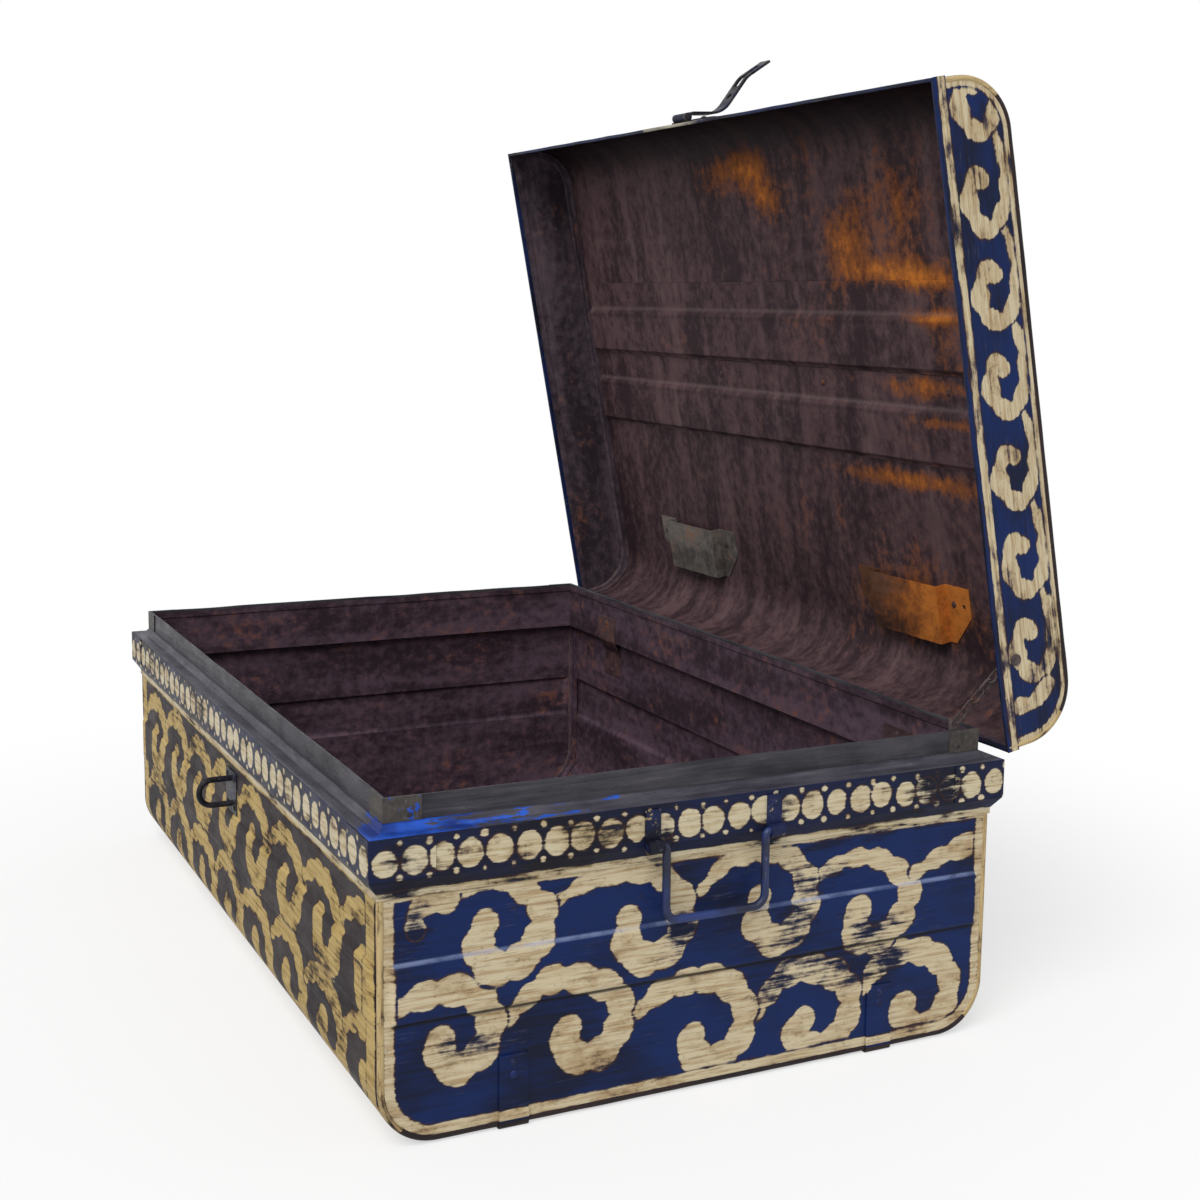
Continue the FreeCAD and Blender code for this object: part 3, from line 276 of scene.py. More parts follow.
# Centre line of one painted scroll, measured from its right limb and its foot: its start, its crest, its
# body and its curled tip. Then its half-widths, and how many of them belong to its arch.
scroll_reach = 0.095
scroll_rise = 0.054
scroll_crest = (-0.064, 0.071)
scroll_body = [(-0.024, 0.067), (0.0, 0.043), (-0.007, 0.013), (-0.031, 0.0), (-0.051, 0.015)]
scroll_curl = -0.046
scroll_tip = 0.035
scroll_girth = [0.0050, 0.0085, 0.0095, 0.0105, 0.0115, 0.0120, 0.0115, 0.0100]
arch_points = 3


def scroll(limb, foot, chance, reach=scroll_reach, rise=scroll_rise, stretch=1.0, height=1.0, girth=1.0,
           arch=1.0, tip=scroll_tip):
    """The dabs of one scroll. reach and rise place its thin start, tip is the height of its curled end, and
    arch is how stout its arch is."""
    crest = (scroll_crest[0] * reach / scroll_reach, scroll_crest[1])
    line = []
    for a, b in [(-reach, rise), crest] + scroll_body + [(scroll_curl, tip)]:
        a = a * stretch + chance.normal(0, hand_error) * stretch
        b = b * height + chance.normal(0, hand_error) * height
        line.append((limb + a, foot + b))
    widths = [width * girth for width in scroll_girth]
    widths[:arch_points] = [width * arch for width in widths[:arch_points]]
    return brush_dabs(line, widths, chance)


def scroll_row(chance, limbs, foot, error, drawing):
    """Scrolls in a row, given where their right limbs are, each a little above or below the row's foot."""
    return [scroll(limb, foot + chance.normal(0, error), chance, **drawing) for limb in limbs]


def over(field, top):
    """Strokes with another stroke laid over them, which keeps a thin line of ground round itself."""
    return np.minimum(np.maximum(field, stroke_gap - top), top)


def painted(across, up, strokes):
    """Distance from points to the edge of strokes of round dabs."""
    field = np.full(across.shape, unpainted)
    for dabs in strokes:
        nearest = np.full(across.shape, unpainted)
        for a, b, radius in dabs:
            nearest = np.minimum(nearest, np.hypot(across - a, up - b) - radius)
        field = over(field, nearest)
    return field


def border(across, up, half, foot, corner, inset, girth):
    """Distance to a line painted at an inset inside a panel with two rounded corners."""
    side = np.abs(across) - (half - corner)
    low = foot + corner - up
    rounded = corner - np.hypot(np.maximum(side, 0), np.maximum(low, 0))
    inside = np.where((side > 0) & (low > 0), rounded, np.minimum(half - np.abs(across), up - foot))
    return np.abs(inside - inset) - girth


def tone(red, green, blue):
    """A colour from the 0 to 255 values that it shows on a screen."""
    shares = [value / 255 for value in (red, green, blue)]
    return [s / 12.92 if s <= 0.04045 else ((s + 0.055) / 1.055) ** 2.4 for s in shares] + [1.0]


def put(tree, kind, inputs=None, **settings):
    """A node with its properties set and its inputs set or linked."""
    made = tree.nodes.new(kind)
    for name, value in settings.items():
        setattr(made, name, value)
    for name, value in (inputs or {}).items():
        if isinstance(value, bpy.types.NodeSocket):
            tree.links.new(value, made.inputs[name])
        else:
            made.inputs[name].default_value = value
    return made


def maths(tree, operation, first, second=0.0):
    return put(tree, "ShaderNodeMath", {0: first, 1: second}, operation=operation).outputs[0]


def times(tree, first, second):
    return maths(tree, "MULTIPLY", first, second)


def weigh(tree, *shares):
    """The sum of values, each with its own weight."""
    total = times(tree, *shares[0])
    for value, weight in shares[1:]:
        total = maths(tree, "ADD", total, times(tree, value, weight))
    return total


def ramp(tree, value, low, high, start=0.0, end=1.0):
    """A smooth step of a value from one limit to another."""
    inputs = {"Value": value, "From Min": low, "From Max": high, "To Min": start, "To Max": end}
    return put(tree, "ShaderNodeMapRange", inputs, interpolation_type="SMOOTHSTEP").outputs["Result"]


def blend_tones(tree, share, first, second):
    return put(tree, "ShaderNodeMix", {0: share, 6: first, 7: second}, data_type="RGBA").outputs[2]


def grain(tree, place, stretch, detail=3.0, rough=0.55):
    """Noise over a place stretched by its own factor along each axis."""
    scaled = put(tree, "ShaderNodeVectorMath", {0: place, 1: stretch}, operation="MULTIPLY").outputs[0]
    inputs = {"Vector": scaled, "Scale": 1.0, "Detail": detail, "Roughness": rough}
    return put(tree, "ShaderNodeTexNoise", inputs).outputs["Fac"]


def new_group(name, inputs):
    """A shader node group with named sockets that gives a colour, a roughness and a height."""
    tree = bpy.data.node_groups.new(name, "ShaderNodeTree")
    for label, kind, value in inputs:
        socket = tree.interface.new_socket(label, in_out="INPUT", socket_type="NodeSocket" + kind)
        if value is not None:
            socket.default_value = value
    for label, kind in (("Color", "Color"), ("Roughness", "Float"), ("Height", "Float")):
        tree.interface.new_socket(label, in_out="OUTPUT", socket_type="NodeSocket" + kind)
    return tree, tree.nodes.new("NodeGroupInput").outputs


def give(tree, colour, roughness, height):
    """Links what a group gives to its outputs."""
    put(tree, "NodeGroupOutput", {"Color": colour, "Roughness": roughness, "Height": height})
    return tree


def make_brushed_paint():
    """Hand-laid house paint: strokes over a ground, worn dark, dirty, with painted highlights and painted
    shade.
    """
    tree, given = new_group("brushed_paint", [
        ("Place", "Vector", None), ("Edge", "Float", 1.0), ("Ground", "Color", tone(24, 38, 84)),
        ("Ground Dark", "Color", tone(18, 20, 32)), ("Stroke", "Color", tone(200, 184, 150)),
        ("Stain", "Color", tone(160, 136, 96)), ("Wear", "Float", 0.4), ("Dirt", "Float", 0.4),
        ("Painted Light", "Float", 0.0)])
    place = given["Place"]
    streak = grain(tree, place, (18, 300, 60), 4.0, 0.6)
    hair = grain(tree, place, (34, 620, 200), 3.0, 0.6)
    cloud = grain(tree, place, (26, 50, 40), 5.0, 0.66)
    patch = grain(tree, place, (7, 10, 9), 3.0)
    speck = grain(tree, place, (230, 300, 300), 3.0, 0.7)
    # Ragged edges of the strokes, and the places where they are worn through.
    ragged = weigh(tree, (grain(tree, place, (80, 100, 100)), 0.0030), (streak, 0.0042))
    edge = maths(tree, "ADD", given["Edge"], maths(tree, "SUBTRACT", ragged, 0.0036))
    inside = ramp(tree, edge, 0.0005, -0.0005)
    thin = weigh(tree, (streak, 0.42), (cloud, 0.73), (patch, 0.4))
    limit = maths(tree, "SUBTRACT", 1.14, times(tree, given["Wear"], 0.5))
    bare = ramp(tree, maths(tree, "SUBTRACT", thin, limit), -0.05, 0.09)
    cover = times(tree, inside, maths(tree, "SUBTRACT", 1.0, bare))
    # The ground, darker in patches and scuffed.
    patchy = ramp(tree, weigh(tree, (patch, 1.0), (streak, 0.3)), 0.56, 0.84)
    darkened = maths(tree, "MAXIMUM", patchy, times(tree, bare, 0.8))
    ground = blend_tones(tree, darkened, given["Ground"], given["Ground Dark"])
    scuffed = ramp(tree, weigh(tree, (hair, 1.0), (cloud, 1.0)), 1.12, 1.4, 0.0, 0.3)
    ground = blend_tones(tree, scuffed, ground, tone(92, 96, 116))
    # The strokes, streaked and stained along the brush.
    stroke = blend_tones(tree, ramp(tree, streak, 0.42, 0.68, 0.0, 0.7), given["Stroke"], given["Stain"])
    stained = ramp(tree, weigh(tree, (cloud, 1.0), (patch, 0.6)), 0.76, 1.02, 0.0, 0.8)
    stroke = blend_tones(tree, stained, stroke, given["Stain"])
    stroke = blend_tones(tree, ramp(tree, hair, 0.54, 0.68, 0.0, 0.45), stroke, tone(92, 70, 54))
    colour = blend_tones(tree, cover, ground, stroke)
    # A broken dark line round the strokes, then dirt, then a patchy painted highlight and painted shade.
    off_edge = maths(tree, "ABSOLUTE", maths(tree, "SUBTRACT", edge, 0.0003))
    broken = ramp(tree, cloud, 0.40, 0.60, 0.15, 0.8)
    line = times(tree, ramp(tree, off_edge, 0.0014, 0.0002), broken)
    colour = blend_tones(tree, line, colour, tone(50, 30, 28))
    soiled = ramp(tree, weigh(tree, (speck, 1.0), (cloud, 0.5)), 0.8, 1.0)
    colour = blend_tones(tree, times(tree, soiled, given["Dirt"]), colour, tone(40, 30, 28))
    rubbed = ramp(tree, cloud, 0.35, 0.6, 0.15, 0.6)
    light = times(tree, ramp(tree, given["Painted Light"], 0.3, 1.0), rubbed)
    colour = blend_tones(tree, light, colour, tone(138, 152, 190))
    colour = blend_tones(tree, ramp(tree, given["Painted Light"], -0.15, -0.8, 0.0, 0.85), colour, tone(16, 15, 20))
    roughness = ramp(tree, cloud, 0.3, 0.7, 0.38, 0.58)
    return give(tree, colour, roughness, weigh(tree, (cover, 0.5), (streak, 0.6)))


def make_rusted_steel():
    """Bare sheet steel gone brown, mottled and softly streaked, with patches of fresh orange rust."""
    tree, given = new_group("rusted_steel", [
        ("Place", "Vector", None), ("Rust", "Float", 0.05), ("Base", "Color", tone(82, 62, 64)),
        ("Dark", "Color", tone(48, 36, 40)), ("Fresh", "Color", tone(146, 86, 44)),
        ("Bright", "Color", tone(204, 122, 50)), ("Pale", "Color", tone(108, 94, 92)),
        ("Streaks", "Float", 0.4), ("Painted Light", "Float", 0.0)])
    place = given["Place"]
    mottle = grain(tree, place, (85, 95, 95), 5.0, 0.68)
    cloud = grain(tree, place, (11, 12, 12), 4.0, 0.6)
    run = grain(tree, place, (3.0, 30, 24), 3.0, 0.55)
    fine = grain(tree, place, (16, 150, 150), 3.0, 0.6)
    pits = grain(tree, place, (420, 420, 420), 3.0, 0.7)
    patch = grain(tree, place, (9, 14, 14), 4.0, 0.65)
    # Old brown rust and its paler runs.
    shade = weigh(tree, (mottle, 0.4), (cloud, 0.25), (run, 0.35))
    colour = blend_tones(tree, ramp(tree, shade, 0.41, 0.59), given["Dark"], given["Base"])
    faded = ramp(tree, weigh(tree, (run, 0.55), (fine, 0.25), (mottle, 0.2)), 0.54, 0.70)
    colour = blend_tones(tree, times(tree, faded, given["Streaks"]), colour, given["Pale"])
    # Fresh rust over it, brightest where it is thickest.
    grown = weigh(tree, (patch, 0.55), (mottle, 0.55), (pits, 0.2))
    spread = maths(tree, "ADD", grown, given["Rust"])
    fresh = ramp(tree, spread, 0.74, 0.98)
    colour = blend_tones(tree, times(tree, fresh, 0.85), colour, given["Fresh"])
    colour = blend_tones(tree, ramp(tree, spread, 0.92, 1.12, 0.0, 0.9), colour, given["Bright"])
    # Painted highlights and painted shade, then pits.
    colour = blend_tones(tree, ramp(tree, given["Painted Light"], 0.1, 0.9, 0.0, 0.5), colour, given["Pale"])
    colour = blend_tones(tree, ramp(tree, given["Painted Light"], 0.0, -0.9, 0.0, 0.85), colour, tone(17, 12, 14))
    colour = blend_tones(tree, ramp(tree, pits, 0.56, 0.72, 0.0, 0.6), colour, given["Dark"])
    roughness = ramp(tree, weigh(tree, (cloud, 1.0), (fresh, 1.0)), 0.3, 1.2, 0.55, 0.85)
    return give(tree, colour, roughness, weigh(tree, (pits, 0.5), (mottle, 0.4), (fresh, 0.4)))


brushed_paint = make_brushed_paint()
rusted_steel = make_rusted_steel()


def new_material(name, group, values, fields=None, place="lay", metal=0.0, shine=0.15):
    """A material round a node group. fields name the mesh values that feed its sockets; place is the one
    that holds where a point lies, or None for the object's own coordinates."""
    material = bpy.data.materials.new(name)
    material.use_nodes = True
    tree = material.node_tree
    surface = tree.nodes["Principled BSDF"]
    surface.inputs["Metallic"].default_value = metal
    surface.inputs["Specular IOR Level"].default_value = shine
    if place is None:
        where = put(tree, "ShaderNodeTexCoord").outputs["Object"]
    else:
        where = put(tree, "ShaderNodeAttribute", attribute_name=place).outputs["Vector"]
    inputs = {"Place": where, **values}
    made = put(tree, "ShaderNodeGroup", inputs, node_tree=group)
    for label, field in (fields or {}).items():
        amount = put(tree, "ShaderNodeAttribute", attribute_name=field).outputs["Fac"]
        tree.links.new(amount, made.inputs[label])
    tree.links.new(made.outputs["Color"], surface.inputs["Base Color"])
    tree.links.new(made.outputs["Roughness"], surface.inputs["Roughness"])
    relief = {"Strength": 0.35, "Distance": 0.0006, "Height": made.outputs["Height"]}
    tree.links.new(put(tree, "ShaderNodeBump", relief).outputs["Normal"], surface.inputs["Normal"])
    return material


# The front's paint is a greyer, darker copy of the ends': painted sheen and painted shade over navy and
# cream.
front_paint_and_sheen = new_material("front_paint_and_sheen", brushed_paint, {
    "Ground": tone(58, 51, 52), "Ground Dark": tone(38, 34, 37), "Stroke": tone(182, 158, 102),
    "Stain": tone(136, 106, 58), "Wear": 0.60, "Dirt": 0.55}, {"Edge": "paint"}, shine=0.03)
trunk_rust = new_material("trunk_rust", rusted_steel, {
    "Base": tone(90, 71, 82), "Dark": tone(50, 38, 46), "Pale": tone(110, 95, 106), "Streaks": 0.25})

# The first right limb and the foot of each row of scrolls, how they are drawn, and the lines round them.
front_rows = [(-0.295, 0.106), (-0.292, 0.018)]
front_scrolls = 8
front_pitch = 0.104
front_scroll = {"height": 0.94, "girth": 1.05}
front_error = 0.003
front_line_inset = 0.011
front_line_half = 0.0100
top_line_foot = 0.189
painted_turn = 0.8 * body_corner


def front_strokes(across, up):
    """Two rows of running scrolls inside a border, with a line under the belt."""
    chance = np.random.default_rng(11)
    strokes = []
    for first, foot in front_rows:
        limbs = first + front_pitch * np.arange(front_scrolls)
        strokes += scroll_row(chance, limbs, foot, front_error, front_scroll)
    edging = border(across, up, wrap_length, wall_foot, body_corner, front_line_inset, front_line_half)
    return np.minimum(over(painted(across, up, strokes), edging), top_line_foot - up)


def trunk_wrap():
    fine = 0.002
    thinned = 10
    columns = 391
    half = [(-wall_width, wall_top), (-wall_width, wall_foot, body_corner), (0.0, wall_foot)]
    side = bent_line(half, fine)
    beyond = np.arange(len(side)) - int(np.argmax(side[:, 1] <= wall_foot + 1e-6))
    side = side[(beyond <= 0) | (beyond % thinned == 0)]
    line = np.concatenate([side, side[-2::-1] * np.array([-1, 1])])
    across = columns_across(line, wrap_length, columns)
    up = by_row(line[:, 1], across)
    around = by_row(run_length(line), across)
    from_end = wrap_length - np.abs(across)
    calm = fade(from_end, dent_margin) * fade(up - dent_foot, dent_rise) * fade(dent_top - up, dent_margin)
    on_wall = np.abs(line[:, 0:1]) > wall_width - sheet
    out = np.where(on_wall, swage(up), 0.0) * fade(from_end, swage_margin)
    out = out + waves(3, dent_length, dent_depth)(across, around) * calm
    points, faces, shown = folded_sheet(across, line, -line_normals(line), out, sheet)
    seen = np.where(line[:, 0:1] < 0, 1.0, -1.0) * across
    upright = np.abs(line[:, 0:1]) > wall_width - painted_turn
    paint = np.where(upright, front_strokes(seen, up), unpainted)
    kinds = np.arange(len(faces)) >= shown
    piece = add_piece("trunk_wrap", points, faces, [front_paint_and_sheen, trunk_rust], kinds,
                      twice(laid(seen, around), 3), paint=twice(paint))
    settle(piece, "body_wrap", "trunk")


trunk_wrap()


# Trunk ends
# An end wall is a flat sheet with the raised band pressed into it. Its edge is rolled over the edge of the
# wrap as a round bead, with a flange inside. Navy ground, cream scrolls and a cream border line.

# Each scroll's right limb and foot, how far its thin start reaches to the left and rises, and its width and
# height as shares of a full one.
upper_scrolls = [(-0.142, 0.126, 0.074, 0.059, 1.0, 1.0), (-0.022, 0.113, 0.108, 0.062, 1.0, 1.0),
                 (0.091, 0.113, 0.102, 0.053, 0.95, 1.0), (0.188, 0.097, 0.088, 0.061, 1.0, 1.0)]
lower_scrolls = [(-0.184, 0.053, 0.092, 0.064, 0.80, 0.88), (-0.074, 0.043, 0.094, 0.046, 1.0, 0.93),
                 (0.035, 0.019, 0.096, 0.055, 1.0, 0.98), (0.137, 0.013, 0.092, 0.042, 1.0, 0.97),
                 (0.238, 0.011, 0.092, 0.048, 0.98, 0.98)]
upper_arch = 0.85
lower_arch = 1.2
upper_tip = 0.035
lower_tip = 0.028
end_tails = [[(-0.242, 0.165), (-0.244, 0.176), (-0.235, 0.185), (-0.219, 0.186)],
             [(0.199, 0.150), (0.228, 0.162), (0.252, 0.167)]]
tail_girth = (0.006, 0.010)
end_line_inset = 0.0088
end_line_half = 0.0042
# Wear all over, more of it in rubbed places: middle across, height, and how far the rubbing spreads.
end_worn = 0.47
end_worn_more = 0.37
end_rubbed = [(0.075, 0.136, 0.034, 0.036), (0.116, 0.163, 0.024, 0.012), (0.154, 0.113, 0.030, 0.020),
              (0.088, 0.075, 0.046, 0.020), (0.178, 0.076, 0.032, 0.016), (-0.202, 0.071, 0.026, 0.012),
              (-0.025, 0.127, 0.020, 0.030), (-0.240, 0.168, 0.016, 0.014), (0.155, 0.186, 0.100, 0.008)]
# Width of the painted highlight and painted shade along the band's edges.
rub_width = 0.0018
old_rivet = (0.033, 0.175)
old_rivet_radius = 0.0045
old_rivet_stand = 0.0016
ends = {"left": -1, "right": 1}
end_columns = 341
end_dent_length = 0.18
end_dent_depth = 0.0005
end_dent_margin = 0.05
end_dent_limit = 0.8
mouth_gap = 0.001
bead_sides = 12
bead_step = 0.004
bead_upright = 0.02
bead_wrinkle = waves(31, 0.05, 0.00012)
bead_inward = 0.1
bead_cream = -0.002
bead_bare = 0.004
flange_width = 0.014
flange_step = 0.01
flange_rows = 90

# The end paint also carries the painted highlight and painted shade of the pressed band.
end_paint = new_material("end_paint", brushed_paint, {
    "Ground": tone(12, 34, 82), "Ground Dark": tone(12, 17, 36), "Stroke": tone(197, 183, 152),
    "Stain": tone(150, 120, 78), "Dirt": 0.45}, {"Edge": "paint", "Wear": "wear", "Painted Light": "rub"})
bead_paint = new_material("bead_paint", brushed_paint, {
    "Ground": tone(44, 34, 34), "Ground Dark": tone(28, 23, 26), "Stroke": tone(184, 162, 118),
    "Stain": tone(136, 110, 72), "Wear": 0.62, "Dirt": 0.6}, {"Edge": "paint"})


def end_strokes(across, up):
    """Scrolls and border of an end wall, seen from outside with its own left at negative across."""
    chance = np.random.default_rng(5)
    strokes = []
    for row, arch, tip in ((lower_scrolls, lower_arch, lower_tip), (upper_scrolls, upper_arch, upper_tip)):
        for limb, foot, reach, rise, stretch, height in reversed(row):
            strokes.append(scroll(limb, foot, chance, reach, rise, stretch, height, 1.0, arch, tip))
    for tail in end_tails:
        strokes.append(brush_dabs(tail, np.linspace(*tail_girth, len(tail)), chance))
    edging = border(across, up, wall_width, wall_foot, body_corner, end_line_inset, end_line_half)
    return np.minimum(over(painted(across, up, strokes), edging), top_line_foot - up)


def end_wear(across, up):
    """How far the pattern of an end wall is worn, by place."""
    rubbed = sum(bell(across - x, wide) * bell(up - z, high) for x, z, wide, high in end_rubbed)
    return end_worn + end_worn_more * np.minimum(rubbed, 1.0)


def swage_rub(up):
    """Painted highlight along the band's upper edge (1) and painted shade under its lower edge (-1)."""
    light = bell(up - swage_top - swage_reach / 2, rub_width)
    dark = bell(up - swage_bottom + swage_reach, rub_width)
    return light - dark


def tube(line, radius, sides, frame_side, closed=False):
    """Points and quads of a round bar along a line; frame_side is a direction that the line never takes."""
    if closed:
        line = np.concatenate([line[-1:], line, line[:2]])
    along = np.gradient(line, axis=0)
    along = along / np.linalg.norm(along, axis=1, keepdims=True)
    side = np.cross(along, frame_side)
    side = side / np.linalg.norm(side, axis=1, keepdims=True)
    above = np.cross(side, along)
    angle = np.linspace(0, 2 * math.pi, sides, endpoint=False)[None, :, None]
    radius = np.broadcast_to(np.asarray(radius, float), (len(line),))[:, None, None]
    ring = side[:, None, :] * np.cos(angle) + above[:, None, :] * np.sin(angle)
    points = (line[:, None, :] + ring * radius).transpose(1, 0, 2)
    if closed:
        points = points[:, 1:-1]
    return points.reshape(-1, 3), grid_faces(sides, points.shape[1], True)


def end_plate(side, shape, levels, pressed):
    """The flat sheet of an end wall, where its points lie seen from outside, and the painted light on its
    band.
    """
    face, half, foot, mouth, corner = shape
    upright = 1.0 if mouth > foot else -1.0
    low = np.maximum(corner - (levels - foot) * upright, 0)
    inset = corner - np.sqrt(np.maximum((corner - bead_radius) ** 2 - low ** 2, 0))
    reach = half - np.where(low > 0, inset, bead_radius)
    across = np.linspace(-1, 1, end_columns)[None, :] * reach[:, None]
    up = by_row(levels, across)
    seen = across * side
    middle = (foot + mouth) / 2
    calm = fade(half - np.abs(across), end_dent_margin)
    off_middle = np.abs(up - middle) / abs(foot - middle)
    calm = calm * np.clip(2 * (end_dent_limit - off_middle), 0, 1)
    out = waves(17 + side, end_dent_length, end_dent_depth)(across, up) * calm
    rub = 0 * up
    if pressed:
        taper = fade(half - swage_margin - np.abs(across), swage_reach)
        dome = 1 - (np.hypot(seen - old_rivet[0], up - old_rivet[1]) / old_rivet_radius) ** 2
        out = out + np.minimum(swage(up), swage_reach * taper)
        out = out + old_rivet_stand * np.sqrt(np.maximum(dome, 0)) * (side > 0)
        # A painted highlight along the band's upper edge and painted shade under its lower edge.
        rub = swage_rub(up) * taper
    grids = [np.stack([side * (face + out - back), across, up], axis=-1) for back in (0.0, sheet)]
    return sheet_shell(*grids), seen, up, rub


def trough(shape, inset, step):
    """The three rolled edges of an end wall as one line, a little way in from its outline."""
    _, half, foot, mouth, corner = shape
    upright = 1.0 if mouth > foot else -1.0
    edge = half - inset
    deep = foot + upright * inset
    lip = mouth - upright * mouth_gap
    turn = corner - inset
    return bent_line([(-edge, lip), (-edge, deep, turn), (edge, deep, turn), (edge, lip)], step)


def rolled_bead(side, shape, plane):
    """The bead along the rolled edges, cream on its upright runs and bare steel towards the inside."""
    outline = trough(shape, bead_radius, bead_step)
    spine = np.column_stack([np.full(len(outline), plane), outline])
    girth = bead_radius - seam / 2 + bead_wrinkle(outline[:, 0], outline[:, 1])
    points, faces = tube(spine, girth, bead_sides, np.array([1.0, 0, 0]))
    turned = np.sin((np.arange(bead_sides) + 0.5) * 2 * math.pi / bead_sides) * side
    kinds = np.repeat(np.where(turned > bead_inward, 2, 1), len(outline) - 1)
    round_it = np.repeat(np.arange(bead_sides) * bead_radius / 2, len(outline))
    lay = laid(np.tile(run_length(outline), bead_sides), round_it)
    upright_run = np.abs(outline[:, 0]) > shape[1] - bead_upright
    edge = np.tile(np.where(upright_run, bead_cream, bead_bare), bead_sides)
    return points, faces, kinds, lay, edge


def inner_flange(side, shape, plane):
    """The flange behind the bead, inside the wrap."""
    spread = np.linspace(plane - side * flange_width, plane, 3)[None, :]
    grids = []
    for thick in (0.0, sheet):
        band = trough(shape, sheet + seam + thick, flange_step)
        band = band[np.linspace(0, len(band) - 1, flange_rows).round().astype(int)]
        grids.append(np.stack(np.broadcast_arrays(spread, band[:, 0:1], band[:, 1:2]), axis=-1))
    return sheet_shell(*grids)


def joined(shapes):
    """Points and quads of several shapes as one."""
    points, faces = zip(*shapes)
    starts = np.cumsum([0] + [len(made) for made in points])
    return np.concatenate(points), np.concatenate([quads + start for quads, start in zip(faces, starts)])


def as_built(points):
    return points


def end_wall(name, node, body, side, shape, levels, pressed, strokes, wear, inside, place=as_built):
    """An end wall: a plate that may have a pressed band, a rolled bead on three edges and a flange. shape is
    its face, half-width, rolled edge, mouth and corner radius, and levels are the heights of its rows."""
    plane = side * (shape[0] + bead_stand - bead_radius)
    (plate, plate_faces, shown), seen, up, rub = end_plate(side, shape, levels, pressed)
    bead, bead_faces, bead_kinds, bead_lay, bead_edge = rolled_bead(side, shape, plane)
    flange, flange_faces, _ = inner_flange(side, shape, plane)
    points, faces = joined([(plate, plate_faces), (bead, bead_faces), (flange, flange_faces)])
    kinds = [np.arange(len(plate_faces)) >= shown, bead_kinds, np.ones(len(flange_faces))]
    lay = [twice(laid(seen, up), 3), bead_lay, flange[:, [1, 2, 0]]]
    paint = [twice(strokes(seen, up)).ravel(), bead_edge, np.full(len(flange), unpainted)]
    rest = np.zeros(len(bead) + len(flange))
    piece = add_piece(name, place(points), faces, [end_paint, inside, bead_paint],
                      np.concatenate(kinds), np.concatenate(lay), paint=np.concatenate(paint),
                      wear=np.concatenate([twice(wear(seen, up)).ravel(), rest]),
                      rub=np.concatenate([twice(rub).ravel(), rest]))
    settle(piece, node, body)


plain_rows = 54
swage_rows = 30
slope_row = 0.002
end_levels = np.concatenate([np.linspace(wall_foot + bead_radius, swage_bottom - swage_reach, plain_rows),
                             np.linspace(swage_bottom - slope_row, swage_top + slope_row, swage_rows),
                             np.linspace(swage_top + swage_reach, wall_top, plain_rows)])
end_shape = (wall_length, wall_width, wall_foot, wall_top, body_corner)
for name, side in ends.items():
    end_wall("trunk_end_" + name, "end_panel_" + name, "trunk", side, end_shape, end_levels, True,
             end_strokes, end_wear, trunk_rust)


# Runner straps
# Two flat bars run under the bottom as feet. They are turned up over the bead and riveted on both ends,
# and the end walls' pattern is painted straight over them.

strap_sheet = 0.0015
runner_spread = 0.165
runner_width = 0.024
runner_height = 0.058
runner_bend = 0.0035
runner_joggle = 0.008
runner_sweep = 0.006
runner_step = 0.002
runner_columns = 13


def both_halves(half):
    """Corners of a line and their mirror image."""
    return half + [(-corner[0],) + corner[1:] for corner in reversed(half)]


def runner(depth, name):
    bead_out = wall_length + bead_stand + seam
    line = bent_line(both_halves([(wall_length + strap_sheet, runner_height),
                                  (wall_length + strap_sheet, wall_foot + 2 * runner_joggle, runner_sweep),
                                  (bead_out + strap_sheet, wall_foot + runner_joggle, runner_sweep),
                                  (bead_out + strap_sheet, 0.0, runner_bend)]), runner_step)
    across = columns_across(line, runner_width / 2, runner_columns) + depth * runner_spread
    up = by_row(line[:, 1], across)
    points, faces, shown = folded_sheet(across, line, line_normals(line), 0 * across, strap_sheet)
    points = points[:, [1, 0, 2]]
    seen = across * np.sign(line[:, 0:1])
    paint = np.where(up > 2 * bead_radius, end_strokes(seen, up), unpainted)
    below = points[faces, 2].mean(axis=1) < 2 * bead_radius
    hidden = np.arange(len(faces)) >= shown
    kinds = np.where(hidden, 1, np.where(below, 2, 0))
    piece = add_piece("runner_strap_" + name, points, faces, [end_paint, trunk_rust, bead_paint], kinds,
                      twice(laid(seen, up), 3), paint=twice(paint), wear=twice(end_wear(seen, up)))
    settle(piece, "runner_" + name, "trunk")


for name, depth in (("front", -1), ("back", 1)):
    runner(depth, name)


# Belt
# A boxed band round the mouth, on which the lid closes: four folded strips mitred under the corner caps.
# It has a flat ledge, an upright face with a row of painted discs and dots, and a slanted lower lip.

half_length = belt_length / 2
half_width = belt_width / 2
belt_foot = belt_top - 0.033
lip_drop = 0.010
lip_foot = belt_foot - 0.015
lip_line = 0.0055
belt_fold = 0.0012
cove_run = 0.004
cove_rise = 0.006
cove_bend = 0.002
cove_lip = 0.0008
cove_tuck = 0.0015
belt_step = 0.0018
belt_inner_step = 0.02
belt_column = 0.002
belt_dents = waves(41, 0.15, 0.00025)
# How far under the ledge the discs' paint ends and the ledge's own paint begins.
paint_limit = 0.0008
ledge_limit = 0.0002
collar_inset = 0.0165
mitre_gap = 0.0001
sides = {"front": (0, -1), "right": (1, 0), "back": (0, 1), "left": (-1, 0)}
disc_margin = 0.011
disc_counts = {half_length: 35, half_width: 25}
disc_height = 0.222
disc_radius = 0.0096
disc_stretch = 0.0013
disc_error = 0.0008
disc_size_error = 0.0006
dot_radius = 0.0023
dot_levels = (0.0132, -0.0125)
dot_error = 0.0005
dot_size_error = 0.0003
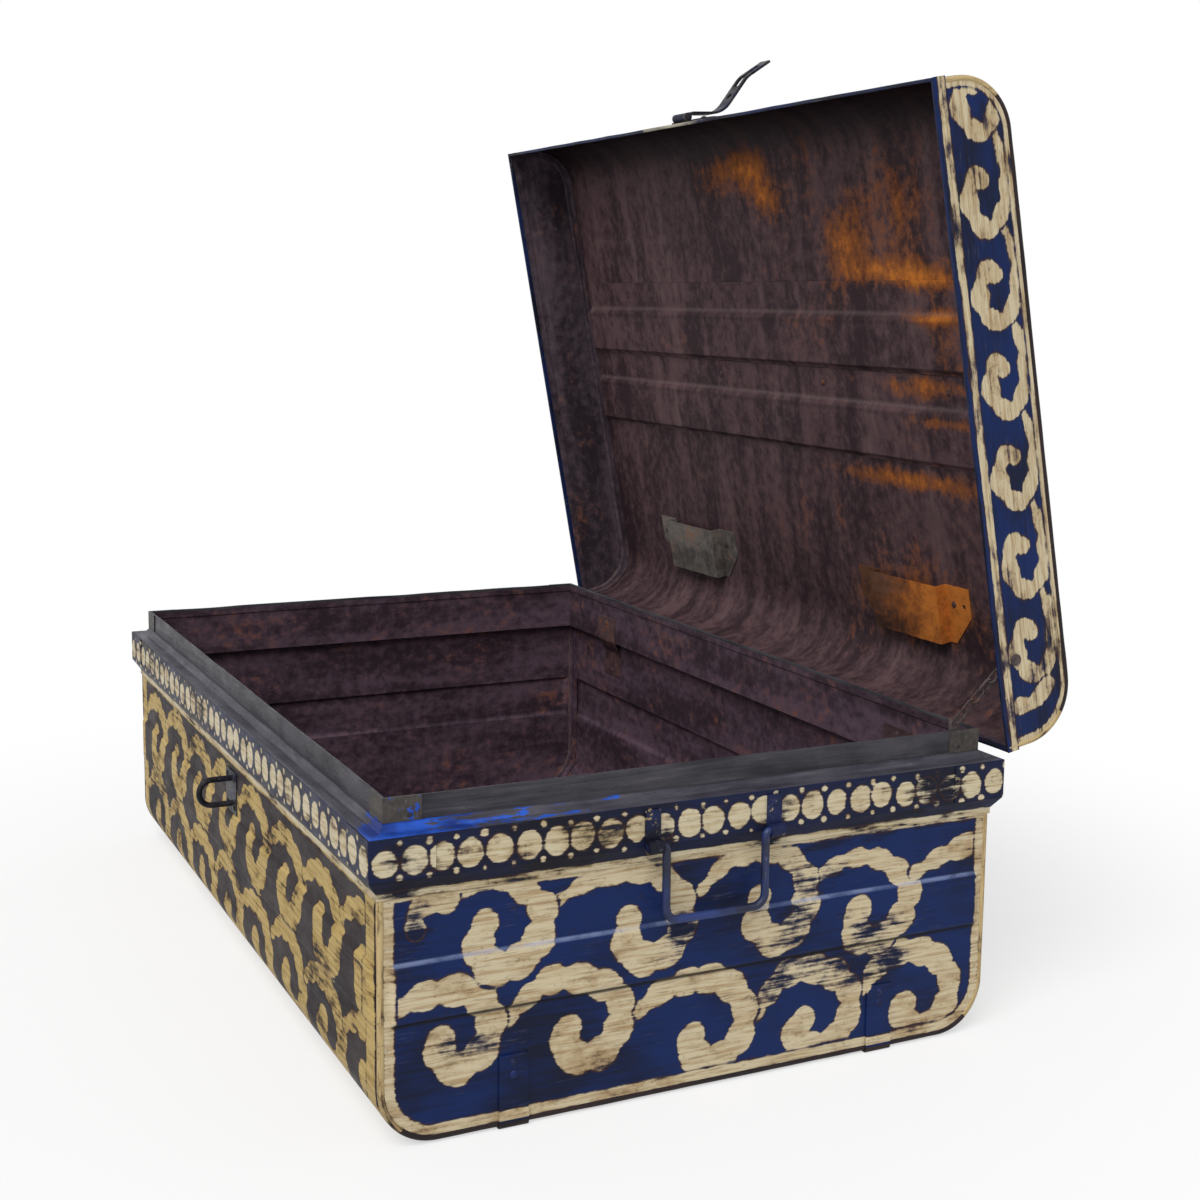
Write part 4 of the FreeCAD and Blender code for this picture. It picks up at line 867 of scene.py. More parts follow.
# Wear all over, more of it on stretches of an end where the discs are rubbed off: the middle and the spread.
belt_worn = 0.56
belt_worn_more = 0.27
belt_rubbed = [(-0.255, 0.030), (-0.040, 0.012), (0.056, 0.012), (0.215, 0.034)]
# The blue left on the ledge: all over, then amount and reach at the two right corners and along the right
# side, where it fades from front to back.
blue_all = 0.14
blue_front = (0.50, 0.08)
blue_back = (0.20, 0.05)
blue_right = (0.22, 0.03)
blue_end = 0.20
blue_fade = 0.3


def make_chipped_paint():
    """Old enamel chipped off dark steel: paint in patches, bright rubs on what is left."""
    tree, given = new_group("chipped_paint", [
        ("Place", "Vector", None), ("Cover", "Float", 0.5), ("Paint", "Color", tone(30, 48, 108)),
        ("Paint Dark", "Color", tone(19, 23, 46)), ("Metal", "Color", tone(90, 86, 80)),
        ("Metal Dark", "Color", tone(46, 42, 42)), ("Rubs", "Float", 0.3)])
    place = given["Place"]
    chip = grain(tree, place, (30, 60, 60), 5.0, 0.68)
    streak = grain(tree, place, (12, 240, 240), 4.0, 0.6)
    cloud = grain(tree, place, (16, 26, 26), 4.0)
    speck = grain(tree, place, (420, 420, 420), 2.0)
    limit = maths(tree, "SUBTRACT", 0.78, times(tree, given["Cover"], 0.56))
    spread = maths(tree, "SUBTRACT", weigh(tree, (chip, 0.65), (streak, 0.35)), limit)
    cover = ramp(tree, spread, -0.012, 0.02)
    worn = ramp(tree, weigh(tree, (streak, 0.45), (cloud, 0.55)), 0.36, 0.66)
    metal = blend_tones(tree, worn, given["Metal Dark"], given["Metal"])
    paint = blend_tones(tree, ramp(tree, cloud, 0.38, 0.62), given["Paint Dark"], given["Paint"])
    colour = blend_tones(tree, cover, metal, paint)
    rubbed = ramp(tree, weigh(tree, (streak, 1.0), (speck, 0.4)), 0.80, 0.98)
    colour = blend_tones(tree, times(tree, rubbed, given["Rubs"]), colour, tone(146, 144, 148))
    colour = blend_tones(tree, ramp(tree, speck, 0.6, 0.75, 0.0, 0.5), colour, tone(32, 27, 27))
    roughness = ramp(tree, weigh(tree, (chip, 1.0), (speck, 1.0)), 0.7, 1.3, 0.34, 0.6)
    return give(tree, colour, roughness, weigh(tree, (cover, 0.7), (streak, 0.3)))


chipped_paint = make_chipped_paint()
belt_paint = new_material("belt_paint", brushed_paint, {
    "Ground": tone(18, 26, 56), "Ground Dark": tone(16, 16, 24), "Stroke": tone(198, 186, 157),
    "Stain": tone(158, 132, 86), "Dirt": 0.45}, {"Edge": "paint", "Wear": "wear"})
ledge_paint = new_material("ledge_paint", chipped_paint, {
    "Paint": tone(44, 92, 196), "Paint Dark": tone(26, 46, 112), "Metal": tone(84, 82, 90),
    "Metal Dark": tone(46, 45, 54)}, {"Cover": "cover"})


def belt_strokes(along, up, reach):
    """Discs and small dots between them along a side of a given half-length, and the line on the lip."""
    chance = np.random.default_rng(23)
    strokes = []
    first = disc_margin - reach
    places, pitch = np.linspace(first, -first, disc_counts[reach], retstep=True)
    for place in places:
        middle = place + chance.normal(0, disc_error)
        height = disc_height + chance.normal(0, disc_size_error)
        disc = []
        for shift in (-disc_stretch, disc_stretch):
            disc.append((middle, height + shift, disc_radius + chance.normal(0, disc_size_error)))
        strokes.append(disc)
        for level in dot_levels:
            dot = (middle + pitch / 2, disc_height + level + chance.normal(0, dot_error))
            strokes.append([dot + (dot_radius + chance.normal(0, dot_size_error),)])
    return np.minimum(painted(along, up, strokes), up - (lip_foot + lip_line))


def belt_wear(along, on_end):
    """How far the discs are rubbed off, by place along a side; the long sides wear evenly."""
    rubbed = sum(bell(along - middle, wide) for middle, wide in belt_rubbed)
    return belt_worn + belt_worn_more * np.minimum(rubbed, 1.0) * on_end


def blue_cover(x, y):
    """How much of the ledge's blue is left: most at the right corners, then along the right side."""
    front = np.exp(-np.hypot(x - half_length, y + half_width) / blue_front[1])
    back = np.exp(-np.hypot(x - half_length, y - half_width) / blue_back[1])
    right = bell(x - half_length, blue_right[1]) * fade(blue_end - y, blue_fade)
    return blue_all + blue_front[0] * front + blue_right[0] * right + blue_back[0] * back


def side_place(side, along, inset, level):
    """Points on one side of a frame round the mouth; along runs left to right, seen from outside."""
    out_x, out_y = side
    along, inset, level = np.broadcast_arrays(along, inset, level)
    if out_x == 0:
        return np.stack([-out_y * along, out_y * (half_width - inset), level], axis=-1)
    return np.stack([out_x * (half_length - inset), out_x * along, level], axis=-1)


def side_reach(side):
    """Half the length of a side of the frame."""
    return half_length if side[0] == 0 else half_width


def frame_strip(side, profile, step, gap=0.0):
    """Points and quads of a folded strip along one side, mitred at both ends, with its own coordinates."""
    reach = side_reach(side)
    count = math.ceil(2 * reach / step)
    inset = profile[:, 0:1]
    along = np.linspace(-1, 1, count)[None, :] * (reach - gap - inset)
    level = by_row(profile[:, 1], along)
    points = side_place(side, along, inset, level).reshape(-1, 3)
    return points, grid_faces(len(profile), count, True), along, level


def belt_strip(name, side):
    cove_top = belt_top + cove_rise
    cove_back = collar_inset - sheet
    lip_back = belt_reach - sheet
    outer = bent_line([(collar_inset, cove_top), (cove_back, cove_top),
                       (cove_back, cove_top - sheet, cove_lip),
                       (cove_back - cove_run, belt_top, cove_bend), (0.0, belt_top, belt_fold),
                       (0.0, belt_foot, belt_fold), (lip_back, belt_foot - lip_drop, belt_fold),
                       (lip_back, lip_foot)], belt_step)
    inner = bent_line([(belt_reach, lip_foot), (belt_reach, belt_foot - lip_drop + sheet / 2),
                       (sheet, belt_foot + sheet / 2), (sheet, belt_top - sheet),
                       (collar_inset - cove_run, belt_top - sheet),
                       (collar_inset, cove_top - cove_tuck)], belt_inner_step)
    profile = np.concatenate([outer, inner])
    points, faces, along, level = frame_strip(side, profile, belt_column, mitre_gap)
    dents = np.abs(belt_dents(along, level)).reshape(-1, 1)
    points = points - dents * np.array([side[0], side[1], 0.0])
    row = np.arange(len(profile))[:, None]
    bare = (row >= len(outer)) | (profile[:, 1:2] > belt_top - paint_limit)
    paint = np.where(bare, unpainted, belt_strokes(along, level, side_reach(side)))
    ledge = np.repeat(profile[:, 1] > belt_top - ledge_limit, along.shape[1] - 1)
    lay = laid(along, run_length(profile)[:, None])
    piece = add_piece("belt_strip_" + name, points, faces, [belt_paint, ledge_paint], ledge, lay,
                      paint=paint, wear=belt_wear(along, side[1] == 0),
                      cover=blue_cover(points[:, 0], points[:, 1]))
    settle(piece, "belt_" + name, "trunk")


for name, side in sides.items():
    belt_strip(name, side)


# Belt corners
# Thin plates bent round the corners of the belt, over the mitres, and painted with the same discs.

cap_sheet = 0.0008
cap_leg = 0.051
cap_bend = 0.0015
cap_step = 0.0018
cap_rows = 19
corners = {"front_right": (1, -1), "back_right": (1, 1), "back_left": (-1, 1), "front_left": (-1, -1)}


def belt_corner(name, along_x, along_y):
    length = half_length + cap_sheet
    width = half_width + cap_sheet
    line = bent_line([(length - cap_leg, width), (length, width, cap_bend),
                      (length, width - cap_leg)], cap_step)
    levels = np.linspace(belt_foot + sheet, belt_top - sheet / 2, cap_rows)
    up = np.broadcast_to(levels[None, :], (len(line), cap_rows))
    points, faces, _ = folded_sheet(up, line, line_normals(line), 0 * up, cap_sheet)
    points = points[:, [1, 2, 0]] * np.array([along_x, along_y, 1.0])
    on_end = line[:, 0:1] > half_length
    along = np.where(on_end, line[:, 1:2], -line[:, 0:1]) * along_x * along_y + 0 * up
    long_side = belt_strokes(along, up, half_length)
    paint = np.where(on_end, belt_strokes(along, up, half_width), long_side)
    piece = add_piece("belt_cap_" + name, points, faces, [belt_paint], 0, twice(laid(along, up), 3),
                      paint=twice(paint), wear=twice(belt_wear(along, on_end)))
    settle(piece, "belt_corner_" + name, "trunk")


for name, (along_x, along_y) in corners.items():
    belt_corner(name, along_x, along_y)


# Collar
# A strip of bare steel that stands up inside the lid's mouth, hemmed inwards along its top edge. It has gone
# grey outside and brown inside, and the blue of the ledge has been brushed up on to its foot.

collar_top = belt_top + 0.025
collar_foot = belt_top - 0.029
hem_foot = collar_top - 0.009
hem_fold = 0.0007
collar_step = 0.0025
ring_step = 0.006
sway_rise = 0.02
# How high the blue was brushed up, over what height it ends, its share above that, and what is worn off it.
blue_rise = 0.016
blue_edge = 0.010
blue_above = 0.35
blue_worn = 0.06

collar_steel = new_material("collar_steel", chipped_paint, {
    "Paint": tone(36, 72, 156), "Paint Dark": tone(28, 42, 88), "Metal": tone(72, 70, 75),
    "Metal Dark": tone(42, 41, 47), "Rubs": 0.2}, {"Cover": "cover"})


def strip_ring(name, node, body, profile, materials, row_kinds, uneven, fields, place=as_built):
    """Four folded strips, mitred at the corners. row_kinds gives the material of each row of the profile,
    uneven moves its points by hand-made unevenness, and fields gives the named values at the points."""
    strips, kinds, lays = [], [], []
    for side in sides.values():
        made, quads, along, level = frame_strip(side, profile, ring_step)
        strips.append((uneven(made, side), quads))
        kinds.append(np.repeat(row_kinds, along.shape[1] - 1))
        lays.append(np.stack(np.broadcast_arrays(along, level, profile[:, 0:1]), axis=-1).reshape(-1, 3))
    points, faces = joined(strips)
    piece = add_piece(name, place(points), faces, materials, np.concatenate(kinds), np.concatenate(lays),
                      **fields(points))
    settle(piece, node, body)


def collar():
    inner = collar_inset + sheet
    hem = collar_inset + 2 * sheet
    profile = bent_line([(collar_inset, collar_foot), (collar_inset, collar_top, hem_fold),
                         (hem, collar_top, hem_fold), (hem, hem_foot), (inner, hem_foot - sheet),
                         (inner, collar_foot)], collar_step)
    sway = waves(53, 0.16, 0.0005)
    lift = waves(54, 0.11, 0.0005)

    def uneven(points, side):
        ease = fade(points[:, 2] - belt_top - cove_rise, sway_rise)
        inward = sway(points[:, 0], points[:, 1]) * ease
        drop = np.minimum(lift(points[:, 0], points[:, 1]), 0) * ease
        return points + np.column_stack([-side[0] * inward, -side[1] * inward, drop])

    def fields(points):
        low = fade(belt_top + blue_rise - points[:, 2], blue_edge)
        share = blue_above + (1 - blue_above) * low
        return {"cover": blue_cover(points[:, 0], points[:, 1]) * share - blue_worn}

    inside = (profile[:, 0] > collar_inset + sheet / 2) & (profile[:, 1] < collar_top - hem_fold)
    strip_ring("collar_strip", "collar", "trunk", profile, [collar_steel, trunk_rust], inside,
               uneven, fields)


collar()


# Collar corners
# Small angle plates outside the collar that hold its strips together at the corners. The one at the front
# right has kept some of the blue that was brushed over it.


def dress(material, *nodes):
    """A new material on CAD nodes that keep their shape."""
    for node in nodes:
        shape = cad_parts[node]
        shape.data.materials.clear()
        shape.data.materials.append(material)


gusset_tones = {"Paint": tone(36, 78, 172), "Paint Dark": tone(28, 42, 88), "Metal": tone(78, 73, 68),
                "Metal Dark": tone(48, 45, 45)}
gusset_steel = new_material("gusset_steel", chipped_paint, {"Cover": 0.22, **gusset_tones}, place=None)
blue_gusset = new_material("blue_gusset", chipped_paint, {"Cover": 0.36, **gusset_tones}, place=None)
for name in corners:
    dress(blue_gusset if name == "front_right" else gusset_steel, "collar_corner_" + name)


# Trunk hinges
# Pressed leaves on the back of the belt with a wire pin, and rusty backing straps inside the back wall.

hinge_paint = new_material("hinge_paint", chipped_paint, {"Cover": 0.5, "Paint": tone(34, 46, 88)},
                           place=None, metal=0.2)
strap_rust = new_material("strap_rust", rusted_steel, {"Rust": 0.08, "Streaks": 0.25}, place=None)
for name in ends:
    dress(hinge_paint, "hinge_base_leaf_" + name, "hinge_pin_" + name)
    dress(strap_rust, "hinge_strap_" + name)
dress(hinge_paint, "hinge_base_rivets")
dress(strap_rust, "hinge_strap_rivets")


# End handles
# A bail of round wire turns in two rolled lugs riveted to the belt. The wire is dark navy; the discs of the
# belt were painted on over the lugs and are mostly worn off them.

bail_wire = 0.0033
bail_width = 0.088
bail_drop = 0.060
bail_pivot = 0.208
bail_bend = 0.010
bail_sides = 20
bail_step = 0.0014
bail_stiff = 0.008
bail_ease = 0.02
bail_wave = 0.07
bail_sag = 0.0005
bail_strip = 0.001
lug_wall = 0.0018
lug_width = 0.013
lug_fit = 0.00005
end_play = 0.0004
bail_out = bail_wire + lug_fit + lug_wall

bail_paint = new_material("bail_paint", chipped_paint, {
    "Cover": 0.86, "Paint": tone(30, 50, 106), "Paint Dark": tone(17, 22, 44), "Metal": tone(74, 78, 94),
    "Rubs": 0.35}, shine=0.4)
lug_paint = new_material("lug_paint", chipped_paint, {
    "Cover": 0.66, "Paint": tone(28, 36, 72), "Paint Dark": tone(18, 19, 32), "Metal": tone(196, 180, 142),
    "Metal Dark": tone(110, 92, 66)}, place=None)
rivet_paint = new_material("rivet_paint", chipped_paint, {
    "Cover": 0.8, "Paint": tone(28, 42, 92), "Paint Dark": tone(20, 24, 46)}, place=None)


def bail(name, side):
    leg = bail_width / 2
    tip = leg + bail_wire + lug_width + end_play
    line = bent_line(both_halves([(-tip, bail_pivot), (-leg, bail_pivot, bail_wire + seam),
                                  (-leg, bail_pivot - bail_drop, bail_bend)]), bail_step)
    free = fade(bail_pivot - bail_stiff - line[:, 1], bail_ease)
    sag = waves(61 + side, bail_wave, bail_sag)(line[:, 0], line[:, 1]) * free
    spine = np.column_stack([side * (half_length + bail_out + sag), line[:, 0], line[:, 1] + sag])
    points, faces = tube(spine, bail_wire, bail_sides, np.array([1.0, 0, 0]))
    count = len(spine)
    ring = np.arange(bail_sides) * count
    after = np.roll(ring, -1)
    tips = len(points)
    quads = faces.tolist()
    for first, second, middle in ((ring, after, tips), (after + count - 1, ring + count - 1, tips + 1)):
        quads += [[one, two, middle] for one, two in zip(first.tolist(), second.tolist())]
    points = np.concatenate([points, spine[[0, -1]]])
    round_it = np.repeat(np.arange(bail_sides) * bail_strip, count)
    lay = laid(np.tile(run_length(spine), bail_sides), round_it)
    lay = np.concatenate([lay, np.zeros((2, 3))])
    piece = add_piece("bail_" + name, points, quads, [bail_paint], 0, lay)
    settle(piece, "handle_bail_" + name, "handle_" + name)


for name, side in ends.items():
    bail(name, side)
    dress(lug_paint, "handle_lug_%s_front" % name, "handle_lug_%s_back" % name)
dress(lug_paint, "handle_rivets")
dress(rivet_paint, "runner_rivets")


# Staple
# A loop of dark wire for a padlock, on a small plate riveted to the front.

dark_iron = new_material("dark_iron", chipped_paint, {
    "Cover": 0.5, "Paint": tone(30, 34, 56), "Paint Dark": tone(17, 17, 24), "Metal": tone(62, 59, 62),
    "Metal Dark": tone(28, 26, 29)}, place=None, metal=0.2)
dress(dark_iron, "staple", "staple_plate", "staple_rivets")


# Lid wrap
# One sheet bent over the front, the crown and the back of the lid. Painted outside; inside it is bare steel
# gone purple-brown, streaked from front to back, with fresh orange rust towards the right end.

lid_open = math.radians(79.5)
knuckle_radius = 0.0042
swing_gap = 0.0003
hinge_back = half_width + knuckle_radius + swing_gap
lid_wall = 0.001
lid_length = half_length - lid_wall
lid_width = half_width - lid_wall
lid_wrap_length = lid_length + bead_stand - 2 * bead_radius + seam
lid_top = belt_top + 0.073
lid_foot = belt_top + 0.0005
lid_corner = 0.048
lid_mouth = lid_foot + 0.0011
lid_step = 0.003
lid_columns = 261
crown_first = -0.275
crown_scrolls = 7
crown_scroll = {"height": 0.86, "girth": 0.9}
crown_error = 0.002
crown_rows = (-0.242, -0.157, -0.072, 0.013, 0.098, 0.183)
lid_line_half = 0.0035
lid_line_inset = 0.012
lid_line_rise = 0.024
skirt_shadow = 0.045
lid_dents = waves(71, 0.2, 0.0004)
lid_dent_margin = 0.04
lid_dent_ease = 0.05
# Fresh rust inside the lid: what comes on all over towards the right, and patches of it. A patch has its
# middle along the lid and from front to back, both spreads, and its amount.
rust_all = 0.05
rust_start = 0.12
rust_rise = 0.08
rust_patches = [(0.00, -0.228, 0.050, 0.018, 0.30), (0.03, -0.197, 0.040, 0.022, 0.24),
                (-0.07, -0.215, 0.060, 0.025, 0.14), (0.22, -0.175, 0.150, 0.060, 0.12),
                (0.16, -0.148, 0.030, 0.026, 0.16), (0.24, -0.118, 0.090, 0.016, 0.24),
                (0.30, -0.110, 0.060, 0.009, 0.20), (0.30, -0.077, 0.060, 0.007, 0.26),
                (0.27, -0.012, 0.080, 0.012, 0.28), (0.31, 0.018, 0.050, 0.007, 0.26),
                (0.23, 0.078, 0.120, 0.011, 0.34), (0.10, 0.125, 0.014, 0.030, 0.20),
                (0.03, 0.130, 0.014, 0.040, 0.14), (0.215, 0.205, 0.090, 0.045, 0.20)]

lid_paint = new_material("lid_paint", brushed_paint, {
    "Ground": tone(22, 38, 84), "Wear": 0.55}, {"Edge": "paint"})
# The inside of the lid also carries painted shadow and painted highlights, given by its pieces.
lid_rust = new_material("lid_rust", rusted_steel, {
    "Base": tone(92, 71, 74), "Dark": tone(53, 40, 44), "Pale": tone(115, 99, 98), "Streaks": 0.45},
    {"Rust": "rust", "Painted Light": "rub"}, shine=0.04)


def raised(points):
    """Points of the shut lid, swung up about the hinge pins."""
    points = np.array(points, float)
    u = points[..., 1] - hinge_back
    w = points[..., 2] - belt_top
    y = hinge_back + u * math.cos(lid_open) + w * math.sin(lid_open)
    z = belt_top - u * math.sin(lid_open) + w * math.cos(lid_open)
    return np.stack([points[..., 0], y, z], axis=-1)


def lid_rust_amount(across, along):
    """How far fresh rust has come over the inside of the lid, by place."""
    amount = rust_all / (1 + np.exp(-(across - rust_start) / rust_rise))
    for x, y, wide, deep, strength in rust_patches:
        amount = amount + strength * bell(across - x, wide) * bell(along - y, deep)
    return amount


def lid_strokes(across, along, half_run):
    """Rows of scrolls over the lid, with a line beside each end and one above the mouth."""
    chance = np.random.default_rng(19)
    limbs = crown_first + front_pitch * np.arange(crown_scrolls)
    strokes = []
    for row in crown_rows:
        strokes += scroll_row(chance, limbs, row, crown_error, crown_scroll)
    edging = np.abs(lid_length - lid_line_inset - np.abs(across)) - lid_line_half
    skirt = np.abs(np.abs(along) - half_run + lid_line_rise) - lid_line_half
    return np.minimum(painted(across, along, strokes), np.minimum(edging, skirt))


def lid_wrap():
    line = bent_line([(-lid_width, lid_mouth), (-lid_width, lid_top, lid_corner),
                      (lid_width, lid_top, lid_corner), (lid_width, lid_mouth)], lid_step)
    across = columns_across(line, lid_wrap_length, lid_columns)
    around = run_length(line)
    half_run = around[-1] / 2
    along = by_row(around - half_run, across)
    depth = by_row(line[:, 0], across)
    calm = fade(lid_length - np.abs(across), lid_dent_margin)
    calm = calm * fade(lid_width - lid_corner - np.abs(depth), lid_dent_ease)
    dents = -np.abs(lid_dents(across, along)) * calm
    points, faces, shown = folded_sheet(across, line, line_normals(line), dents, sheet)
    lay = np.concatenate([laid(across, along), laid(along, across)])
    # A painted shadow of the front skirt, darkest at the skirt and dying away over the inside.
    shadow = -bell(depth + lid_width, skirt_shadow)
    piece = add_piece("lid_wrap_sheet", raised(points), faces, [lid_paint, lid_rust],
                      np.arange(len(faces)) >= shown, lay, paint=twice(lid_strokes(across, along, half_run)),
                      rust=twice(lid_rust_amount(across, depth)), rub=twice(shadow))
    settle(piece, "lid_wrap", "lid")


lid_wrap()


# Lid ends
# Low end walls of the lid, rolled over the wrap's edge as on the trunk. Each carries a line of small scrolls
# and a border line along the rolled edge; inside they have gone grey.

lid_scroll_first = -0.233
lid_scroll_pitch = 0.0755
lid_scroll_count = 7
lid_scroll_foot = lid_foot + 0.0225
lid_scroll_error = 0.001
lid_scroll = {"stretch": 0.80, "height": 0.52, "girth": 0.66, "tip": 0.031}
lid_tail = [(0.243, 0.259), (0.243, 0.274), (0.232, 0.289)]
lid_tail_girth = [0.007, 0.0075, 0.007]
lid_end_line_inset = 0.0060
lid_end_line_half = 0.0030
lid_end_rows = 46
# Wear all over, and how much more of it from a place on towards the hinges.
lid_end_worn = 0.5
lid_end_worn_more = 0.3
lid_worn_from = -0.05
lid_worn_span = 0.3

lid_end_rust = new_material("lid_end_rust", rusted_steel, {
    "Base": tone(84, 71, 79), "Dark": tone(47, 39, 46), "Pale": tone(116, 107, 114), "Streaks": 0.45})


def lid_end_strokes(across, up):
    """Small scrolls, a tail by the hinges, and a border along the rolled edge."""
    chance = np.random.default_rng(29)
    limbs = lid_scroll_first + lid_scroll_pitch * np.arange(lid_scroll_count)[::-1]
    strokes = scroll_row(chance, limbs, lid_scroll_foot, lid_scroll_error, lid_scroll)
    strokes.append(brush_dabs(lid_tail, lid_tail_girth, chance))
    edging = border(across, -up, lid_width, -lid_top, lid_corner, lid_end_line_inset, lid_end_line_half)
    return over(painted(across, up, strokes), edging)


def lid_end_wear(across, up):
    """Even wear, a little more towards the hinges."""
    return lid_end_worn + lid_end_worn_more * np.clip(across - lid_worn_from, 0, lid_worn_span) + 0 * up


lid_end_levels = np.linspace(lid_top - bead_radius, lid_mouth, lid_end_rows)
lid_end_shape = (lid_length, lid_width, lid_top, lid_mouth, lid_corner)
for name, side in ends.items():
    end_wall("lid_end_wall_" + name, "lid_end_" + name, "lid", side, lid_end_shape, lid_end_levels, False,
             lid_end_strokes, lid_end_wear, lid_end_rust, raised)


# Lid rim
# A channel folded round the mouth of the lid to stiffen it, enamelled navy along its edge. The border line
# of the pattern is painted over its outer face, and cream has been dragged over it beside the hasp.

rim_sheet = 0.0009
rim_height = 0.012
rim_fold = 0.0008
rim_line = 0.0078
rim_line_half = 0.0036
rim_lip = 0.004
rim_step = 0.002
rim_sway = waves(83, 0.14, 0.0003)
rim_worn = 0.62
# How much enamel is left, how much less beside the hasp, and the middle and the reach of that place.
rim_cover = 0.80
rim_rubbed = 0.42
rubbed_middle = -0.012
rubbed_reach = 0.065
rim_paint = new_material("rim_paint", chipped_paint, {
    "Paint": tone(22, 36, 76), "Paint Dark": tone(16, 19, 32), "Metal": tone(184, 176, 156),
    "Metal Dark": tone(58, 56, 62), "Rubs": 0.3}, {"Cover": "cover"})


def lid_rim():
    groove = lid_wall + sheet + mitre_gap
    back = groove + rim_sheet
    rim_top = lid_foot + rim_height
    floor = lid_foot + rim_sheet
    profile = bent_line([(0.0, rim_top), (0.0, lid_foot, rim_fold), (back, lid_foot, rim_fold),
                         (back, rim_top), (groove, rim_top), (groove, floor), (rim_sheet, floor),
                         (rim_sheet, rim_top)], rim_step)

    def uneven(points, side):
        inward = np.abs(rim_sway(points[:, 0], points[:, 1]))
        return points - inward[:, None] * np.array([side[0], side[1], 0.0])

    def fields(points):
        beside_hasp = np.exp(-((points[:, 0] - rubbed_middle) / rubbed_reach) ** 4) * (points[:, 1] < 0)
        line = np.abs(points[:, 2] - lid_foot - rim_line) - rim_line_half
        return {"cover": rim_cover - rim_rubbed * beside_hasp, "paint": line, "wear": rim_worn + 0 * line}

    outside = (profile[:, 0] < rim_sheet / 2) & (profile[:, 1] > lid_foot + rim_fold)
    inside = (profile[:, 0] > back - rim_fold / 2) & (profile[:, 1] > lid_foot + rim_lip)
    strip_ring("lid_rim_channel", "lid_rim", "lid", profile,
               [rim_paint, lid_end_rust, end_paint], np.where(outside, 2, inside), uneven, fields, raised)


lid_rim()


# Lid battens
# Two formed strips riveted side by side under the crown, each with a flat flange and a shallow boxed part.

crown_under = lid_top - sheet
batten_front = 0.169 - lid_width
batten_width = 0.085
batten_flange = 0.030
batten_depth = 0.006
batten_slope = 0.005
batten_bend = 0.0015
batten_margin = 0.020
batten_step = 0.0025
batten_columns = 161
batten_apart = 0.3
ripple_length = 0.12
ripple_depth = 0.0004
ripple_ease = 0.003
# Painted highlight along the flange's fold and painted shade a little behind it: width, strengths, offset.
fold_rub = 0.003
fold_highlight = 0.6
fold_shade = 0.3
fold_shadow = 0.008


def batten(name, shift):
    front = batten_front + shift * (batten_width + sheet)
    fall = front + batten_flange
    back = front + batten_width
    flush = crown_under - sheet
    low = crown_under - batten_depth
    line = bent_line([(front, flush), (fall, flush, batten_bend), (fall + batten_slope, low, batten_bend),
                      (back - batten_slope, low, batten_bend), (back - sheet, flush, batten_bend),
                      (back, flush)], batten_step)
    across = columns_across(line, lid_length - batten_margin, batten_columns)
    along = by_row(line[:, 0], across)
    ripple = np.abs(waves(91 + shift, ripple_length, ripple_depth)(across, along))
    ripple = ripple * fade(flush - line[:, 1:2], ripple_ease)
    points, faces, _ = folded_sheet(across, line, -line_normals(line), -ripple, sheet)
    lay = np.stack([along, across, np.full(across.shape, batten_apart + shift)], axis=-1)
    # A painted highlight on the fold and painted shade beside it.
    light = fold_highlight * bell(along - fall, fold_rub)
    dark = fold_shade * bell(along - fall - fold_shadow, fold_rub)
    piece = add_piece("batten_" + name, raised(points), faces, [lid_rust], 0, twice(lay, 3),
                      rust=twice(lid_rust_amount(across, along)), rub=twice(light - dark))
    settle(piece, "lid_batten_" + name, "lid")


batten("front", 0)
batten("back", 1)
rivet_rust = new_material("batten_rivet_rust", rusted_steel, {"Rust": 0.1, "Streaks": 0.2}, place=None)
dress(rivet_rust, "lid_batten_rivets")


# Lid brackets
# Two hat-shaped brackets riveted under the crown near the hinges. The left is grey, the right rusted orange.

left_bracket = new_material("left_bracket", rusted_steel, {
    "Base": tone(112, 106, 100), "Dark": tone(66, 60, 58), "Pale": tone(140, 134, 126)}, place=None)
right_bracket = new_material("right_bracket", rusted_steel, {
    "Base": tone(100, 64, 44), "Dark": tone(54, 36, 30), "Fresh": tone(150, 86, 40)}, place=None)
# Where along the trunk the right bracket's fresh rust starts and is full, and how much there is at each.
bracket_rust = (0.13, 0.29, 0.05, 0.45)


def redder_to_the_right(material):
    """Feeds a rust material with more fresh rust towards the right."""
    tree = material.node_tree
    made = next(node for node in tree.nodes if node.type == "GROUP")
    where = put(tree, "ShaderNodeSeparateXYZ", {0: put(tree, "ShaderNodeTexCoord").outputs["Object"]})
    tree.links.new(ramp(tree, where.outputs["X"], *bracket_rust), made.inputs["Rust"])


redder_to_the_right(right_bracket)
dress(left_bracket, "lid_bracket_left")
dress(right_bracket, "lid_bracket_right")
dress(rivet_rust, "lid_bracket_rivets")


# Lid hinges
# The lid's halves of the hinges, pressed leaves riveted to the back of the lid.

dress(hinge_paint, "hinge_lid_leaf_left", "hinge_lid_leaf_right", "hinge_lid_rivets")


# Hasp
# A bowed tongue of thick strap, folded back over its leaf on the front of the lid. It is almost black.

dress(dark_iron, "hasp", "hasp_plate", "hasp_pin", "hasp_rivets")


# Stay chain
# Six wire links between a lug riveted inside the collar and an eye in the lid's right end, rusty all over.

link_wire = 0.001
link_half = 0.0046
link_count = 6
link_steps = 28
link_sides = 10
link_play = 0.0003
lug_hole = 0.003
lug_from_back = 0.039
lug_rise = 0.030
eye_hole = 0.0042
eye_stand = 0.0065
eye_from_back = 0.078
eye_rise = 0.019
stay_rust = new_material("stay_rust", rusted_steel, {
    "Base": tone(88, 78, 76), "Dark": tone(46, 40, 42), "Rust": 0.1, "Streaks": 0.2}, place=None)


